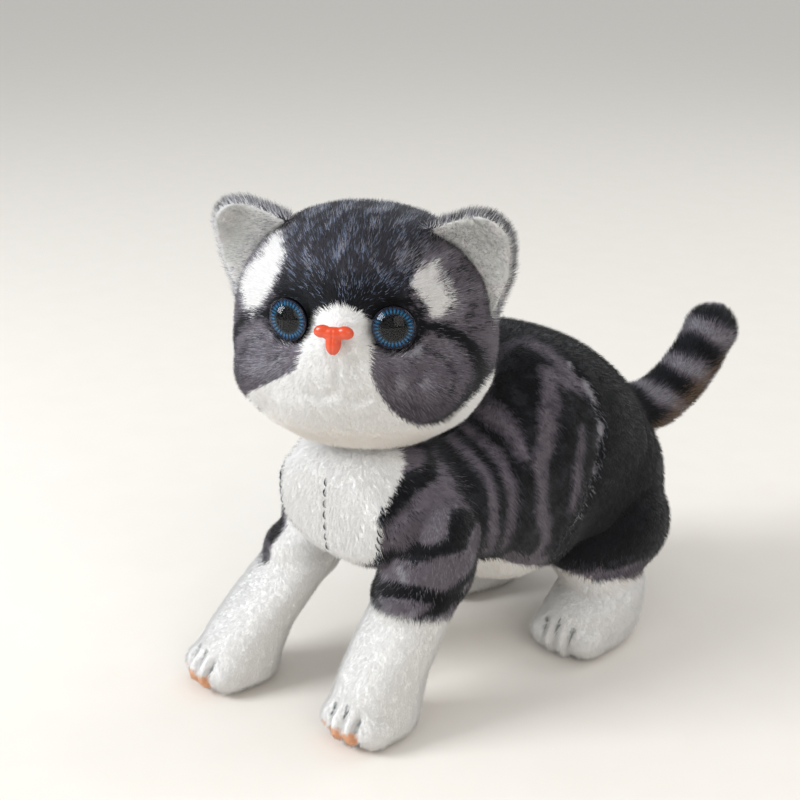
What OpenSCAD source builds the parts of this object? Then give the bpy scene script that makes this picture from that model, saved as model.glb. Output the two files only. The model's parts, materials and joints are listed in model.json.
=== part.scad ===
// Stuffed toy cat standing on four paws with its head turned to its left.
// Plush skins are thin closed shells, each with its own block of stuffing inside.
// The cat faces -Y, its left side is +X, and the soles of its paws lie on Z = 0.

/* [Body] */
// Thickness of the plush fabric and its pile
skin = 3; // [2:0.5:4]
// Width of the body at the flanks
body_w = 92; // [90:1:96]
// Height of the back above the ground
back_h = 142; // [138:1:146]

/* [Head] */
// Width of the head across the cheeks
head_w = 104; // [102:1:108]
// Height of the middle of the head above the ground
head_z = 154; // [152:1:158]
// Turn of the head towards the cat's left
head_yaw = 34; // [20:1:36]
// Width of an ear along its base
ear_w = 48; // [44:1:50]

/* [Eyes and nose] */
// Diameter of the clear eye domes
eye_d = 16; // [14:1:17]
// Diameter of the pupils
pupil_d = 9.4; // [8:0.2:10]
// Distance between the middles of the eyes
eye_gap = 39; // [37:1:41]
// Width of the moulded nose
nose_w = 14; // [12:1:15]

/* [Legs and tail] */
// Diameter of a front leg at the shoulder
leg_d = 39; // [37:1:40]
// Distance that the left front paw stands ahead of its shoulder
reach_left = 28; // [26:1:32]
// Distance that the right front paw stands ahead of its shoulder
reach_right = 46; // [44:1:49]
// Width of a hind paw
hind_paw_w = 38; // [36:1:40]
// Diameter of the tail at its root
tail_d = 26; // [24:1:27]

/* [Hidden] */
left = 1;
right = -1;
gap = 0.4;                                  // running gap between pieces that move
seat = 0.2;                                 // gap between a skin and its stuffing
plan_shift = [0, -109.8, 0];                  // moves the middle of the toy's plan box to the origin

// Colours
charcoal = [0.16, 0.16, 0.19];
grey_plush = [0.36, 0.34, 0.38];
white_plush = [0.93, 0.92, 0.90];
fill_white = [0.97, 0.97, 0.97];
ear_grey = [0.66, 0.66, 0.64];
thread_dark = [0.10, 0.11, 0.16];
iris_blue = [0.05, 0.34, 0.50];
nose_red = [0.88, 0.30, 0.18];

// Torso: [y, half width, underside, top] of its cross-sections from chest to rump
flank = body_w / 2;
torso_rings = 24;
torso_power = 2.5;
torso_stations = [
    [9, 0.52 * flank, 66, 96],
    [11, 0.76 * flank, 62, 101],
    [18, 0.88 * flank, 60, 104],
    [36, 0.94 * flank, 60, 105],
    [58, 0.96 * flank, 58, 106],
    [71, 0.97 * flank, 45, back_h - 30],
    [84, 0.98 * flank, 38, back_h - 13],
    [98, flank, 36, back_h - 3],
    [114, flank + 1, 35, back_h],
    [138, flank + 1, 33, back_h - 9],
    [158, 0.94 * flank, 33, back_h - 24],
    [174, 0.78 * flank, 36, back_h - 42],
    [184, 0.54 * flank, 44, back_h - 58],
    [189, 0.28 * flank, 54, back_h - 69]];
chest_seam_y = 15;                          // the white chest panel lies in front of this
belly_seam_z = 50;                          // and the white belly panel lies below this

// Neck: a stuffed plug with a ball on top, inside the torso and the head
neck_at = [0, 42, 120];
neck_ball_r = 24;
neck_plug_r = 13;
neck_plug_z = 86;

// Head: [z, half width, depth forwards, depth backwards], from chin to crown
head_at = [-3, 35, head_z];
cheek = head_w / 2;
head_rings = 28;
head_power = 2.15;
head_stations = [
    [-46, 0.27 * cheek, 13, 13],
    [-43, 0.55 * cheek, 26, 22],
    [-34, 0.82 * cheek, 36, 34],
    [-22, 0.96 * cheek, 40, 40],
    [-8, cheek, 39, 43],
    [6, 0.99 * cheek, 33, 44],
    [20, 0.91 * cheek, 31, 41],
    [32, 0.74 * cheek, 26, 35],
    [41, 0.50 * cheek, 18, 24],
    [45.5, 0.22 * cheek, 9, 11]];
muzzle_at = [0, -24, 0];
muzzle_r = 15;

// Ears: base point on the head, tilt outwards, and the height of the rounded tip
ear_at = [40, -1, 20];
ear_tilt = 60;
ear_toe = 5;
ear_tip = [-9, 13.5];
ear_tip_r = 9.2;
ear_base_r = 6.5;
ear_layer = 2.8;
ear_clear_r = 53;                           // the ears stay outside this ball round the head's middle

// Eyes: place of the back of each eye on the head and its turn outwards
eye_place = [eye_gap / 2, -29.5, 7.8];
eye_turn = 14;
eye_flange_t = 0.8;
eye_iris_t = 0.8;
eye_dome_h = 4.6;
post_r = 2.4;
post_l = 15;
washer_r = 6.5;
washer_t = 1.6;
washer_z = -7;
washer_bore = post_r + 0.05;

// Nose: moulded T shape with a post, on the front of the muzzle
nose_place = [0, -38.3, 5];
nose_tilt = -12;
nose_lobe_r = 2.7;
nose_post_l = 14;
nose_seat_depth = 2.4;                      // the lobes are let into the muzzle this far

// Front legs: [z, part of the reach, part of the leg's width, part of its depth]
shoulder_at = [31, 39, 76];
shoulder_r = leg_d / 2;
leg_rings = 20;
front_stations = [
    [0, 0.95, 0.62, 0.72],
    [3, 1.00, 0.83, 0.94],
    [12, 1.00, 0.88, 1.01],
    [24, 0.85, 0.86, 0.93],
    [36, 0.60, 0.88, 0.89],
    [50, 0.27, 0.86, 0.86],
    [60, 0.06, 0.48, 0.48],
    [76, 0.00, 0.80, 0.80]];
paw_out_left = -1;                          // the left paw stands this much wider than its shoulder
paw_out_right = 7;                          // and the right paw this much
sleeve_z = 47;                              // the grey sleeve ends here

// Hind legs: a ball-shaped thigh and a long paw
// Paw: [z, distance of its middle from the hip, part of its width, part of its length]
hip_at = [26.5, 152, 47];
thigh_r = 26;
hind_stations = [
    [0, -23, 0.74, 0.76],
    [3, -23.5, 0.93, 0.92],
    [12, -23, 1.00, 1.00],
    [22, -18, 0.92, 0.94],
    [32, -10, 0.62, 0.62]];
hind_paw_x = 33;
hind_paw_l = 58;
hind_toe_out = 8;                           // turn of the hind paws outwards
sock_z = 26;                                // the white sock of the hind leg ends here

// Tail: points along its middle line, each with its radius
tail_root = [0, 188, 82];
tail_r = tail_d / 2;
tail_rings = 16;
tail_line = [
    [0, 188, 82], [1, 199, 80], [3, 210, 82], [6, 221, 90], [9, 229, 101], [12, 234, 114]];
tail_taper = [0.92, 0.94, 0.95, 0.95, 0.93, 0.90];
tip_fuller = 0.6;                           // the round tip is this much fuller than the tail

// Stitches: short straight threads along a seam
thread_r = 0.6;
stitch_l = 4.2;
stitch_step = 6;

// A superellipse's cosine or sine, rounder than a box and fuller than an ellipse
function bulge(v, p) = sign(v) * pow(abs(v), 2 / p);

// Ring across the Y axis: half width w, from low to high
function ring_y(y, w, low, high, n, p) = [for (i = [0 : n - 1]) let (a = 360 * i / n)
    [w * bulge(sin(a), p), y, (low + high) / 2 + (high - low) / 2 * bulge(cos(a), p)]];

// Ring across the Z axis with its own depth forwards and backwards
function ring_z(x, y, z, w, front, back, n, p) = [for (i = [0 : n - 1]) let (a = 360 * i / n)
    [x + w * bulge(cos(a), p), y + (sin(a) < 0 ? front : back) * bulge(sin(a), p), z]];

// Closed solid through a row of rings
module loft(rings) {
    n = len(rings[0]);
    m = len(rings);
    polyhedron(
        points = [for (r = rings) each r],
        faces = concat(
            [[for (i = [0 : n - 1]) i]],
            [for (j = [0 : m - 2], i = [0 : n - 1]) let (k = (i + 1) % n)
                [j * n + i, (j + 1) * n + i, (j + 1) * n + k]],
            [for (j = [0 : m - 2], i = [0 : n - 1]) let (k = (i + 1) % n)
                [j * n + i, (j + 1) * n + k, j * n + k]],
            [[for (i = [n - 1 : -1 : 0]) (m - 1) * n + i]]));
}

// Everything is drawn through this, so that the plan box is centred on the origin
module placed() {
    translate(plan_shift) children();
}

module on_side(side) {
    mirror([side < 0 ? 1 : 0, 0, 0]) children();
}

// ---- torso ----

module torso_form(inset) {
    last = len(torso_stations) - 1;
    loft([for (i = [0 : last]) let (s = torso_stations[i])
        ring_y(s[0] + (i == 0 ? inset : 0) - (i == last ? inset : 0) + (i == 1 ? inset * 0.9 : 0),
            s[1] - inset, s[2] + inset, s[3] - inset, torso_rings, torso_power)]);
}

module torso_sockets() {
    for (side = [left, right]) on_side(side) {
        translate(shoulder_at) sphere(r = shoulder_r + gap, $fn = 48);
        translate(hip_at) sphere(r = thigh_r + gap, $fn = 48);
    }
    translate([neck_at[0], neck_at[1], neck_plug_z - gap])
        cylinder(r = neck_plug_r + gap, h = 60, $fn = 48);
    translate(neck_at) sphere(r = neck_ball_r + gap, $fn = 48);
    translate(tail_root) sphere(r = tail_r + gap, $fn = 48);
}

module torso_shell() {
    difference() {
        torso_form(0);
        torso_form(skin);
        torso_sockets();
    }
}

module chest_zone() {
    translate([-100, -50, 0]) cube([200, 50 + chest_seam_y, 200]);
}

module belly_zone() {
    translate([-100, chest_seam_y, 0]) cube([200, 400, belly_seam_z]);
}

module torso_skin() {
    color(charcoal) placed() difference() {
        torso_shell();
        chest_zone();
        belly_zone();
    }
}

module chest_skin() {
    color(white_plush) placed() intersection() {
        torso_shell();
        chest_zone();
    }
}

module belly_skin() {
    color(white_plush) placed() intersection() {
        torso_shell();
        belly_zone();
    }
}

module torso_stuffing() {
    color(fill_white) placed() difference() {
        torso_form(skin + seat);
        torso_sockets();
    }
}

// ---- hand stitching ----

// A row of threads between two points, laid against the plush and cut off where it dives in
module stitch_row(from, to) {
    run = to - from;
    count = floor(norm(run) / stitch_step);
    yaw = atan2(run[1], run[0]);
    pitch = acos(run[2] / norm(run));
    difference() {
        for (i = [0 : count])
            translate(from + run * (i / count)) rotate([0, pitch, yaw])
                cylinder(r = thread_r, h = stitch_l, center = true, $fn = 16);
        torso_form(-0.02);
    }
}

module chest_stitches() {
    color(thread_dark) placed() stitch_row([0, 8.7, 92], [0, 8.7, 66]);
}

module shoulder_stitches(side) {
    color(thread_dark) placed() on_side(side)
        stitch_row([0.75 * flank, 13.5, 93], [0.77 * flank, 13.5, 71]);
}

module haunch_stitches(side) {
    color(thread_dark) placed() on_side(side) {
        stitch_row([flank - 6.3, 121, back_h - 17], [flank + 0.7, 127, 98]);
    }
}

// ---- neck ----

module neck_form(inset) {
    translate(neck_at) sphere(r = neck_ball_r - inset, $fn = 48);
    translate([neck_at[0], neck_at[1], neck_plug_z + inset])
        cylinder(r = neck_plug_r - inset, h = neck_at[2] - neck_plug_z - inset, $fn = 48);
}

module neck_skin() {
    color(white_plush) placed() difference() {
        neck_form(0);
        neck_form(skin);
    }
}

module neck_stuffing() {
    color(fill_white) placed() neck_form(skin + seat);
}

// ---- head ----

module in_head() {
    translate(head_at) rotate([0, 0, head_yaw]) children();
}

module head_form(inset) {
    last = len(head_stations) - 1;
    loft([for (i = [0 : last]) let (s = head_stations[i])
        ring_z(0, 0, s[0] + (i == 0 ? inset : 0) - (i == last ? inset : 0),
            s[1] - inset, s[2] - inset, s[3] - inset, head_rings, head_power)]);
}

module at_eye(side) {
    on_side(side) translate(eye_place) rotate([0, 0, eye_turn]) rotate([90, 0, 0]) children();
}

module at_nose() {
    translate(nose_place) rotate([nose_tilt, 0, 0]) rotate([90, 0, 0]) children();
}

// Flat seats for the eyes, holes for the posts and room for the washers
module face_fittings() {
    for (side = [left, right]) at_eye(side) {
        cylinder(r = eye_d / 2 + 0.1, h = 20, $fn = 48);
        translate([0, 0, -post_l - seat]) cylinder(r = post_r + 0.1, h = post_l + 1, $fn = 32);
        translate([0, 0, washer_z - seat]) cylinder(r = washer_r + seat, h = washer_t + 2 * seat, $fn = 48);
    }
    at_nose() {
        translate([0, 0, -nose_seat_depth])
            cylinder(r = nose_w / 2 + 0.3, h = 20, $fn = 48);
        translate([0, 0, -nose_post_l - seat]) cylinder(r = post_r + 0.1, h = nose_post_l + 1, $fn = 32);
        translate([0, 0, washer_z - 1 - seat])
            cylinder(r = washer_r + seat, h = washer_t + 2 * seat, $fn = 48);
    }
}

module neck_ball_room() {
    translate(neck_at) sphere(r = neck_ball_r + gap, $fn = 48);
}

module head_skin() {
    color(charcoal) placed() difference() {
        in_head() difference() {
            union() {
                head_form(0);
                translate(muzzle_at) sphere(r = muzzle_r, $fn = 48);
            }
            head_form(skin);
            face_fittings();
        }
        neck_ball_room();
    }
}

module head_stuffing() {
    color(fill_white) placed() difference() {
        in_head() difference() {
            head_form(skin + seat);
            face_fittings();
        }
        neck_ball_room();
    }
}

// Rounded triangle of an ear in its own plane
module ear_outline() {
    half = ear_w / 2 - ear_base_r;
    hull() {
        translate([-half, -3]) circle(r = ear_base_r, $fn = 32);
        translate([half, -3]) circle(r = ear_base_r, $fn = 32);
        translate(ear_tip) circle(r = ear_tip_r, $fn = 32);
    }
}

// One layer of an ear, from depth y0 to y1 behind the ear's middle plane
module ear_layer_form(side, y0, y1) {
    in_head() on_side(side) difference() {
        translate(ear_at) rotate([0, ear_tilt, 0]) rotate([0, 0, ear_toe])
            translate([0, y1, 0]) rotate([90, 0, 0]) linear_extrude(y1 - y0) ear_outline();
        sphere(r = ear_clear_r, $fn = 64);
    }
}

module ear_outer(side) {
    color(charcoal) placed() ear_layer_form(side, 0, ear_layer);
}

module ear_inner(side) {
    color(ear_grey) placed() ear_layer_form(side, -ear_layer, -0.02);
}

// ---- eyes and nose ----

module eye_dome(side) {
    base_r = eye_d / 2;
    ball_r = (base_r * base_r + eye_dome_h * eye_dome_h) / (2 * eye_dome_h);
    base_z = eye_flange_t + eye_iris_t;
    color([0.75, 0.85, 0.95, 0.4]) placed() in_head() at_eye(side) intersection() {
        translate([0, 0, base_z + eye_dome_h - ball_r]) sphere(r = ball_r, $fn = 64);
        translate([0, 0, base_z]) cylinder(r = base_r, h = eye_dome_h, $fn = 64);
    }
}

module eye_iris(side) {
    color(iris_blue) placed() in_head() at_eye(side) translate([0, 0, eye_flange_t]) difference() {
        cylinder(r = eye_d / 2 - 0.1, h = eye_iris_t, $fn = 64);
        translate([0, 0, -1]) cylinder(r = pupil_d / 2 + 0.02, h = 4, $fn = 64);
    }
}

module eye_pupil(side) {
    color("black") placed() in_head() at_eye(side) translate([0, 0, eye_flange_t])
        cylinder(r = pupil_d / 2, h = eye_iris_t, $fn = 64);
}

module eye_post(side) {
    color("black") placed() in_head() at_eye(side) {
        cylinder(r = eye_d / 2 - 0.1, h = eye_flange_t, $fn = 64);
        translate([0, 0, -post_l]) cylinder(r = post_r, h = post_l, $fn = 32);
    }
}

module locking_washer() {
    difference() {
        cylinder(r = washer_r, h = washer_t, $fn = 48);
        translate([0, 0, -1]) cylinder(r = washer_bore, h = washer_t + 2, $fn = 48);
    }
}

module eye_washer(side) {
    color("white") placed() in_head() at_eye(side) translate([0, 0, washer_z]) locking_washer();
}

module nose() {
    lobe_x = nose_w / 2 - nose_lobe_r;
    color(nose_red) placed() in_head() at_nose() {
        hull() for (x = [-lobe_x, 0, lobe_x])
            translate([x, abs(x) * 0.2 + 1.5, 0.6]) sphere(r = nose_lobe_r, $fn = 24);
        hull() for (y = [1.5, -4.4])
            translate([0, y, 0.6]) sphere(r = nose_lobe_r * (y < 0 ? 0.85 : 1), $fn = 24);
        translate([0, 0, -nose_post_l]) cylinder(r = post_r, h = nose_post_l, $fn = 32);
    }
}

module nose_washer() {
    color("white") placed() in_head() at_nose() translate([0, 0, washer_z - 1]) locking_washer();
}

// ---- front legs ----

module front_leg_form(side, inset) {
    reach = side > 0 ? reach_left : reach_right;
    out = side > 0 ? paw_out_left : paw_out_right;
    loft([for (i = [0 : len(front_stations) - 1]) let (s = front_stations[i])
        let (depth = s[3] * shoulder_r - inset)
        ring_z(shoulder_at[0] + out * (1 - s[0] / shoulder_at[2]), shoulder_at[1] - reach * s[1],
            s[0] + (i == 0 ? inset : 0), s[2] * shoulder_r - inset, depth, depth, leg_rings, 2.2)]);
    translate(shoulder_at) sphere(r = shoulder_r - inset, $fn = 48);
}

module front_leg_shell(side) {
    on_side(side) difference() {
        front_leg_form(side, 0);
        front_leg_form(side, skin);
    }
}

module above(z) {
    translate([-200, -200, z]) cube([400, 600, 300]);
}

module front_sleeve(side) {
    color(grey_plush) placed() intersection() {
        front_leg_shell(side);
        above(sleeve_z);
    }
}

module front_paw(side) {
    color(white_plush) placed() difference() {
        front_leg_shell(side);
        above(sleeve_z);
    }
}

module front_leg_stuffing(side) {
    color(fill_white) placed() on_side(side) front_leg_form(side, skin + seat);
}

// ---- hind legs ----

module hind_paw_form(inset) {
    half_w = hind_paw_w / 2;
    half_l = hind_paw_l / 2;
    translate([hind_paw_x, hip_at[1], 0]) rotate([0, 0, hind_toe_out])
        loft([for (i = [0 : len(hind_stations) - 1]) let (s = hind_stations[i])
            let (depth = s[3] * half_l - inset)
            ring_z(0, s[1], s[0] + (i == 0 ? inset : 0) - (i == len(hind_stations) - 1 ? inset : 0),
                s[2] * half_w - inset, depth, depth, leg_rings, 2.2)]);
}

module hind_leg_form(inset) {
    translate(hip_at) sphere(r = thigh_r - inset, $fn = 48);
    hind_paw_form(inset);
}

module hind_leg_shell(side) {
    on_side(side) difference() {
        hind_leg_form(0);
        hind_leg_form(skin);
    }
}

module haunch_skin(side) {
    color(charcoal) placed() intersection() {
        hind_leg_shell(side);
        above(sock_z);
    }
}

module hind_paw(side) {
    color(white_plush) placed() difference() {
        hind_leg_shell(side);
        above(sock_z);
    }
}

module hind_leg_stuffing(side) {
    color(fill_white) placed() on_side(side) hind_leg_form(skin + seat);
}

// ---- tail ----

// Ring square to the tail's middle line at point i
function tail_ring(i, r) =
    let (last = len(tail_line) - 1)
    let (run = tail_line[min(i + 1, last)] - tail_line[max(i - 1, 0)])
    let (ahead = run / norm(run))
    let (side = cross(ahead, [1, 0, 0]))
    let (up = side / norm(side))
    let (across = cross(up, ahead))
    [for (k = [0 : tail_rings - 1]) let (a = 360 * k / tail_rings)
        tail_line[i] + r * (cos(a) * across + sin(a) * cross(ahead, across))];

module tail_form(inset) {
    last = len(tail_line) - 1;
    loft([for (i = [0 : last]) tail_ring(i, tail_r * tail_taper[i] - inset)]);
    translate(tail_root) sphere(r = tail_r - inset, $fn = 48);
    translate(tail_line[last]) sphere(r = tail_r * tail_taper[last] + tip_fuller - inset, $fn = 32);
}

module tail_skin() {
    color(charcoal) placed() difference() {
        tail_form(0);
        tail_form(skin);
    }
}

module tail_stuffing() {
    color(fill_white) placed() tail_form(skin + seat);
}

torso_skin();
chest_skin();
belly_skin();
torso_stuffing();
chest_stitches();
shoulder_stitches(left);  // shoulder_stitches_left
shoulder_stitches(right);  // shoulder_stitches_right
haunch_stitches(left);  // haunch_stitches_left
haunch_stitches(right);  // haunch_stitches_right
neck_skin();
neck_stuffing();
head_skin();
head_stuffing();
ear_outer(left);  // ear_outer_left
ear_inner(left);  // ear_inner_left
ear_outer(right);  // ear_outer_right
ear_inner(right);  // ear_inner_right
eye_dome(left);  // eye_dome_left
eye_iris(left);  // eye_iris_left
eye_pupil(left);  // eye_pupil_left
eye_post(left);  // eye_post_left
eye_washer(left);  // eye_washer_left
eye_dome(right);  // eye_dome_right
eye_iris(right);  // eye_iris_right
eye_pupil(right);  // eye_pupil_right
eye_post(right);  // eye_post_right
eye_washer(right);  // eye_washer_right
nose();
nose_washer();
front_sleeve(left);  // front_sleeve_left
front_paw(left);  // front_paw_left
front_leg_stuffing(left);  // front_leg_stuffing_left
front_sleeve(right);  // front_sleeve_right
front_paw(right);  // front_paw_right
front_leg_stuffing(right);  // front_leg_stuffing_right
haunch_skin(left);  // haunch_skin_left
hind_paw(left);  // hind_paw_left
hind_leg_stuffing(left);  // hind_leg_stuffing_left
haunch_skin(right);  // haunch_skin_right
hind_paw(right);  // hind_paw_right
hind_leg_stuffing(right);  // hind_leg_stuffing_right
tail_skin();
tail_stuffing();
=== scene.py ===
"""Looks of a plush kitten: modelled skins, laid pile, eyes, nose and hand stitching round the CAD frame.

Sizes are in millimetres in the toy's own plan, where the chest faces -Y, the cat's left is +X and Z = 0
is the ground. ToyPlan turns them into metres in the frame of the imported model.
"""

import json
import logging
import math
from dataclasses import dataclass, field
from enum import Enum
from typing import Callable, Sequence

import bpy
import numpy as np
from mathutils import Euler, Matrix, Vector
from mathutils.bvhtree import BVHTree

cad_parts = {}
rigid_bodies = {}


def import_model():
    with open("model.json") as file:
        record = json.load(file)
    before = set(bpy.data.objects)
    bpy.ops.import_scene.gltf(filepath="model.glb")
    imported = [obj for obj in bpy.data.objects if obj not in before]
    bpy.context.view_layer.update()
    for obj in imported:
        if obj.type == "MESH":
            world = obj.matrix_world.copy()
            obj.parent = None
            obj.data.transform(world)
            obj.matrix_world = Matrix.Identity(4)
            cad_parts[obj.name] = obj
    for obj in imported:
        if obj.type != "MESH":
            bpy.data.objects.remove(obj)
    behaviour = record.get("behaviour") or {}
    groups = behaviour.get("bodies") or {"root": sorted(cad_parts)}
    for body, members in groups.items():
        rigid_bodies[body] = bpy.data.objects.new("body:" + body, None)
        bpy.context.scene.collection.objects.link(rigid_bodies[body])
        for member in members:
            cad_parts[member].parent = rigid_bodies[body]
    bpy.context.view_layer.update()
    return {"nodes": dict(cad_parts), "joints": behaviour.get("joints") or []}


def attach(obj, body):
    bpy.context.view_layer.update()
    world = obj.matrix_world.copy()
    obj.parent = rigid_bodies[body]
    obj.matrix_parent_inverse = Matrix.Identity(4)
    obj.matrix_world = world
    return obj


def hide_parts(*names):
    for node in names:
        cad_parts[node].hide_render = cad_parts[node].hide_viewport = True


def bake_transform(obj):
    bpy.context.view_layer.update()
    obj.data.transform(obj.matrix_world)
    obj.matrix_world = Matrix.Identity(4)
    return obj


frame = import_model()

LOG = logging.getLogger("plush_kitten")
MM = 0.001

Point = tuple[float, float, float]
Array = np.ndarray


# ---------------------------------------------------------------- plan and small helpers


class Side(Enum):
    """The cat's own left and right, with the sign of X."""

    LEFT = 1
    RIGHT = -1

    @property
    def word(self) -> str:
        """Lower-case name, as the CAD nodes use it."""
        return self.name.lower()


@dataclass(frozen=True)
class ToyPlan:
    """Turns sizes in the toy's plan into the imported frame.

    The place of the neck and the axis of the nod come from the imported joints, so the plan follows the CAD.
    """

    joints: Sequence[dict]
    neck: Point = (0.0, 42.0, 120.0)
    head: Point = (-3.0, 35.0, 154.0)

    def _joint(self, name: str) -> dict:
        """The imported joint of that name."""
        return next(j for j in self.joints if j["name"] == name)

    @property
    def shift(self) -> Array:
        """Where the plan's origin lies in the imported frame, in millimetres."""
        return np.array(self._joint("neck_turn")["pos_m"]) / MM - np.array(self.neck)

    def at(self, x: float, y: float, z: float) -> Vector:
        """A point of the plan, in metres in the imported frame."""
        return Vector((np.array((x, y, z)) + self.shift) * MM)

    @property
    def head_turn(self) -> float:
        """Turn of the head to the cat's left, in radians."""
        axis = self._joint("head_nod")["axis"]
        return math.atan2(axis[1], axis[0])

    @property
    def head_matrix(self) -> Matrix:
        """From millimetres in the head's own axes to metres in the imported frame."""
        return (Matrix.Translation(self.at(*self.head)) @ Matrix.Rotation(self.head_turn, 4, "Z")
                @ Matrix.Scale(MM, 4))

    @property
    def body_matrix(self) -> Matrix:
        """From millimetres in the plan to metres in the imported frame."""
        return Matrix.Translation(self.at(0, 0, 0)) @ Matrix.Scale(MM, 4)


def local_points(matrix: Matrix, co: Array) -> Array:
    """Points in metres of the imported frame, in the millimetres of a part's own axes.

    Args:
        matrix: the part's axes.
        co: an array of points.

    Returns:
        The same points in the part's axes.
    """
    m = np.array(matrix.inverted())
    return co @ m[:3, :3].T + m[:3, 3]


def turned(matrix: Matrix, directions: Array) -> Array:
    """Directions in a part's own axes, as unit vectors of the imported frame."""
    out = directions @ np.array(matrix)[:3, :3].T
    return out / np.maximum(np.linalg.norm(out, axis=1, keepdims=True), 1e-12)


def linear(hex_colour: str) -> tuple[float, float, float, float]:
    """An sRGB hex colour as linear red, green, blue and alpha."""
    parts = [int(hex_colour[i:i + 2], 16) / 255 for i in (1, 3, 5)]
    return (*[c / 12.92 if c <= 0.04045 else ((c + 0.055) / 1.055) ** 2.4 for c in parts], 1.0)


def ramp(distance: Array, edge: float, soft: float) -> Array:
    """A soft step down.

    Args:
        distance: the values that are compared.
        edge: where the step is half way.
        soft: the width of the slope.

    Returns:
        1 well under the edge, 0 well over it, and a straight slope between them.
    """
    return np.clip((edge + soft / 2 - distance) / soft, 0, 1)


def ripple(points: Array, size: float, seed: int) -> Array:
    """A smooth wandering value between about -1 and 1.

    Args:
        points: where it is asked for, in millimetres.
        size: the distance over which it changes, in millimetres.
        seed: picks one of many such fields.

    Returns:
        One value for each point.
    """
    rng = np.random.default_rng(seed)
    waves = 7
    directions = rng.normal(size=(waves, 3))
    directions /= np.linalg.norm(directions, axis=1, keepdims=True)
    pace = 2 * math.pi / (size * rng.uniform(1.4, 3.4, waves))
    phase = rng.uniform(0, 2 * math.pi, waves)
    return np.sin((points @ directions.T) * pace + phase).sum(axis=1) / math.sqrt(waves)


def from_path(points: Array, path: Sequence[Sequence[float]]) -> Array:
    """Distance from points to a path of straight stretches.

    Args:
        points: an array of points, in two or three dimensions.
        path: the corners of the path, in the same dimensions.

    Returns:
        The distance from each point to the nearest stretch.
    """
    best = np.full(len(points), 1e9)
    for a, b in zip(path[:-1], path[1:]):
        start, run = np.array(a, float), np.array(b, float) - np.array(a, float)
        t = np.clip(((points - start) @ run) / (run @ run), 0, 1)
        best = np.minimum(best, np.linalg.norm(points - start - t[:, None] * run, axis=1))
    return best


def xz(points: Array) -> Array:
    """The X and Z of each point."""
    return points[:, [0, 2]]


# ---------------------------------------------------------------- finishes


class Tone(Enum):
    """Colours of the printed plush."""

    WHITE = "#f5f3f0"
    PEARL = "#e2dfdd"
    CREAM = "#f6ece0"
    SILVER = "#c3c2c4"
    HAZE = "#8f8c93"
    STEEL = "#717d95"
    MAUVE = "#6a636b"
    PLUM = "#4d4850"
    SLATE = "#3b393f"
    COAL = "#26272c"
    BLACK = "#141519"
    BROWN = "#77614f"
    PEACH = "#f0b28a"
    TOE_LINE = "#3a4c50"
    EAR = "#d3d3cf"


TONES = list(Tone)


def add_node(tree: bpy.types.NodeTree, kind: str, settings: dict | None = None,
             inputs: dict | None = None) -> bpy.types.Node:
    """Adds one shader node.

    Args:
        tree: the material's node tree.
        kind: the node's type.
        settings: properties of the node itself.
        inputs: for each input, by name or number, a value or the output socket that it is linked to.

    Returns:
        The node.
    """
    made = tree.nodes.new(kind)
    for name, value in (settings or {}).items():
        setattr(made, name, value)
    for name, value in (inputs or {}).items():
        if isinstance(value, bpy.types.NodeSocket):
            tree.links.new(value, made.inputs[name])
        else:
            made.inputs[name].default_value = value
    return made


def new_material(name: str, inputs: dict) -> tuple[bpy.types.Material, bpy.types.NodeTree, bpy.types.Node]:
    """An empty node material with one principled shader.

    Args:
        name: the material's name.
        inputs: constant values for the shader's sockets.

    Returns:
        The material, its node tree and its shader node.
    """
    made = bpy.data.materials.new(name)
    made.use_nodes = True
    tree = made.node_tree
    tree.nodes.clear()
    shader = add_node(tree, "ShaderNodeBsdfPrincipled", inputs=inputs)
    add_node(tree, "ShaderNodeOutputMaterial", inputs={"Surface": shader.outputs["BSDF"]})
    return made, tree, shader


@dataclass(frozen=True)
class PlushPile:
    """Cut polyester pile: fine soft fibres, dull with a faint sheen, in one printed tone."""

    roughness: float = 0.7
    sheen: float = 0.25
    sheen_on_dark: float = 0.06
    sheen_roughness: float = 0.45

    def build(self, tone: Tone) -> bpy.types.Material:
        """The pile's material in one tone, made once."""
        name = f"plush_pile_{tone.name.lower()}"
        found = bpy.data.materials.get(name)
        if found:
            return found
        colour = linear(tone.value)
        return new_material(name, {
            "Base Color": colour, "Roughness": self.roughness, "Specular IOR Level": 0.2,
            "Sheen Weight": self.sheen if colour[1] > 0.2 else self.sheen_on_dark,
            "Sheen Roughness": self.sheen_roughness})[0]


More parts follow.
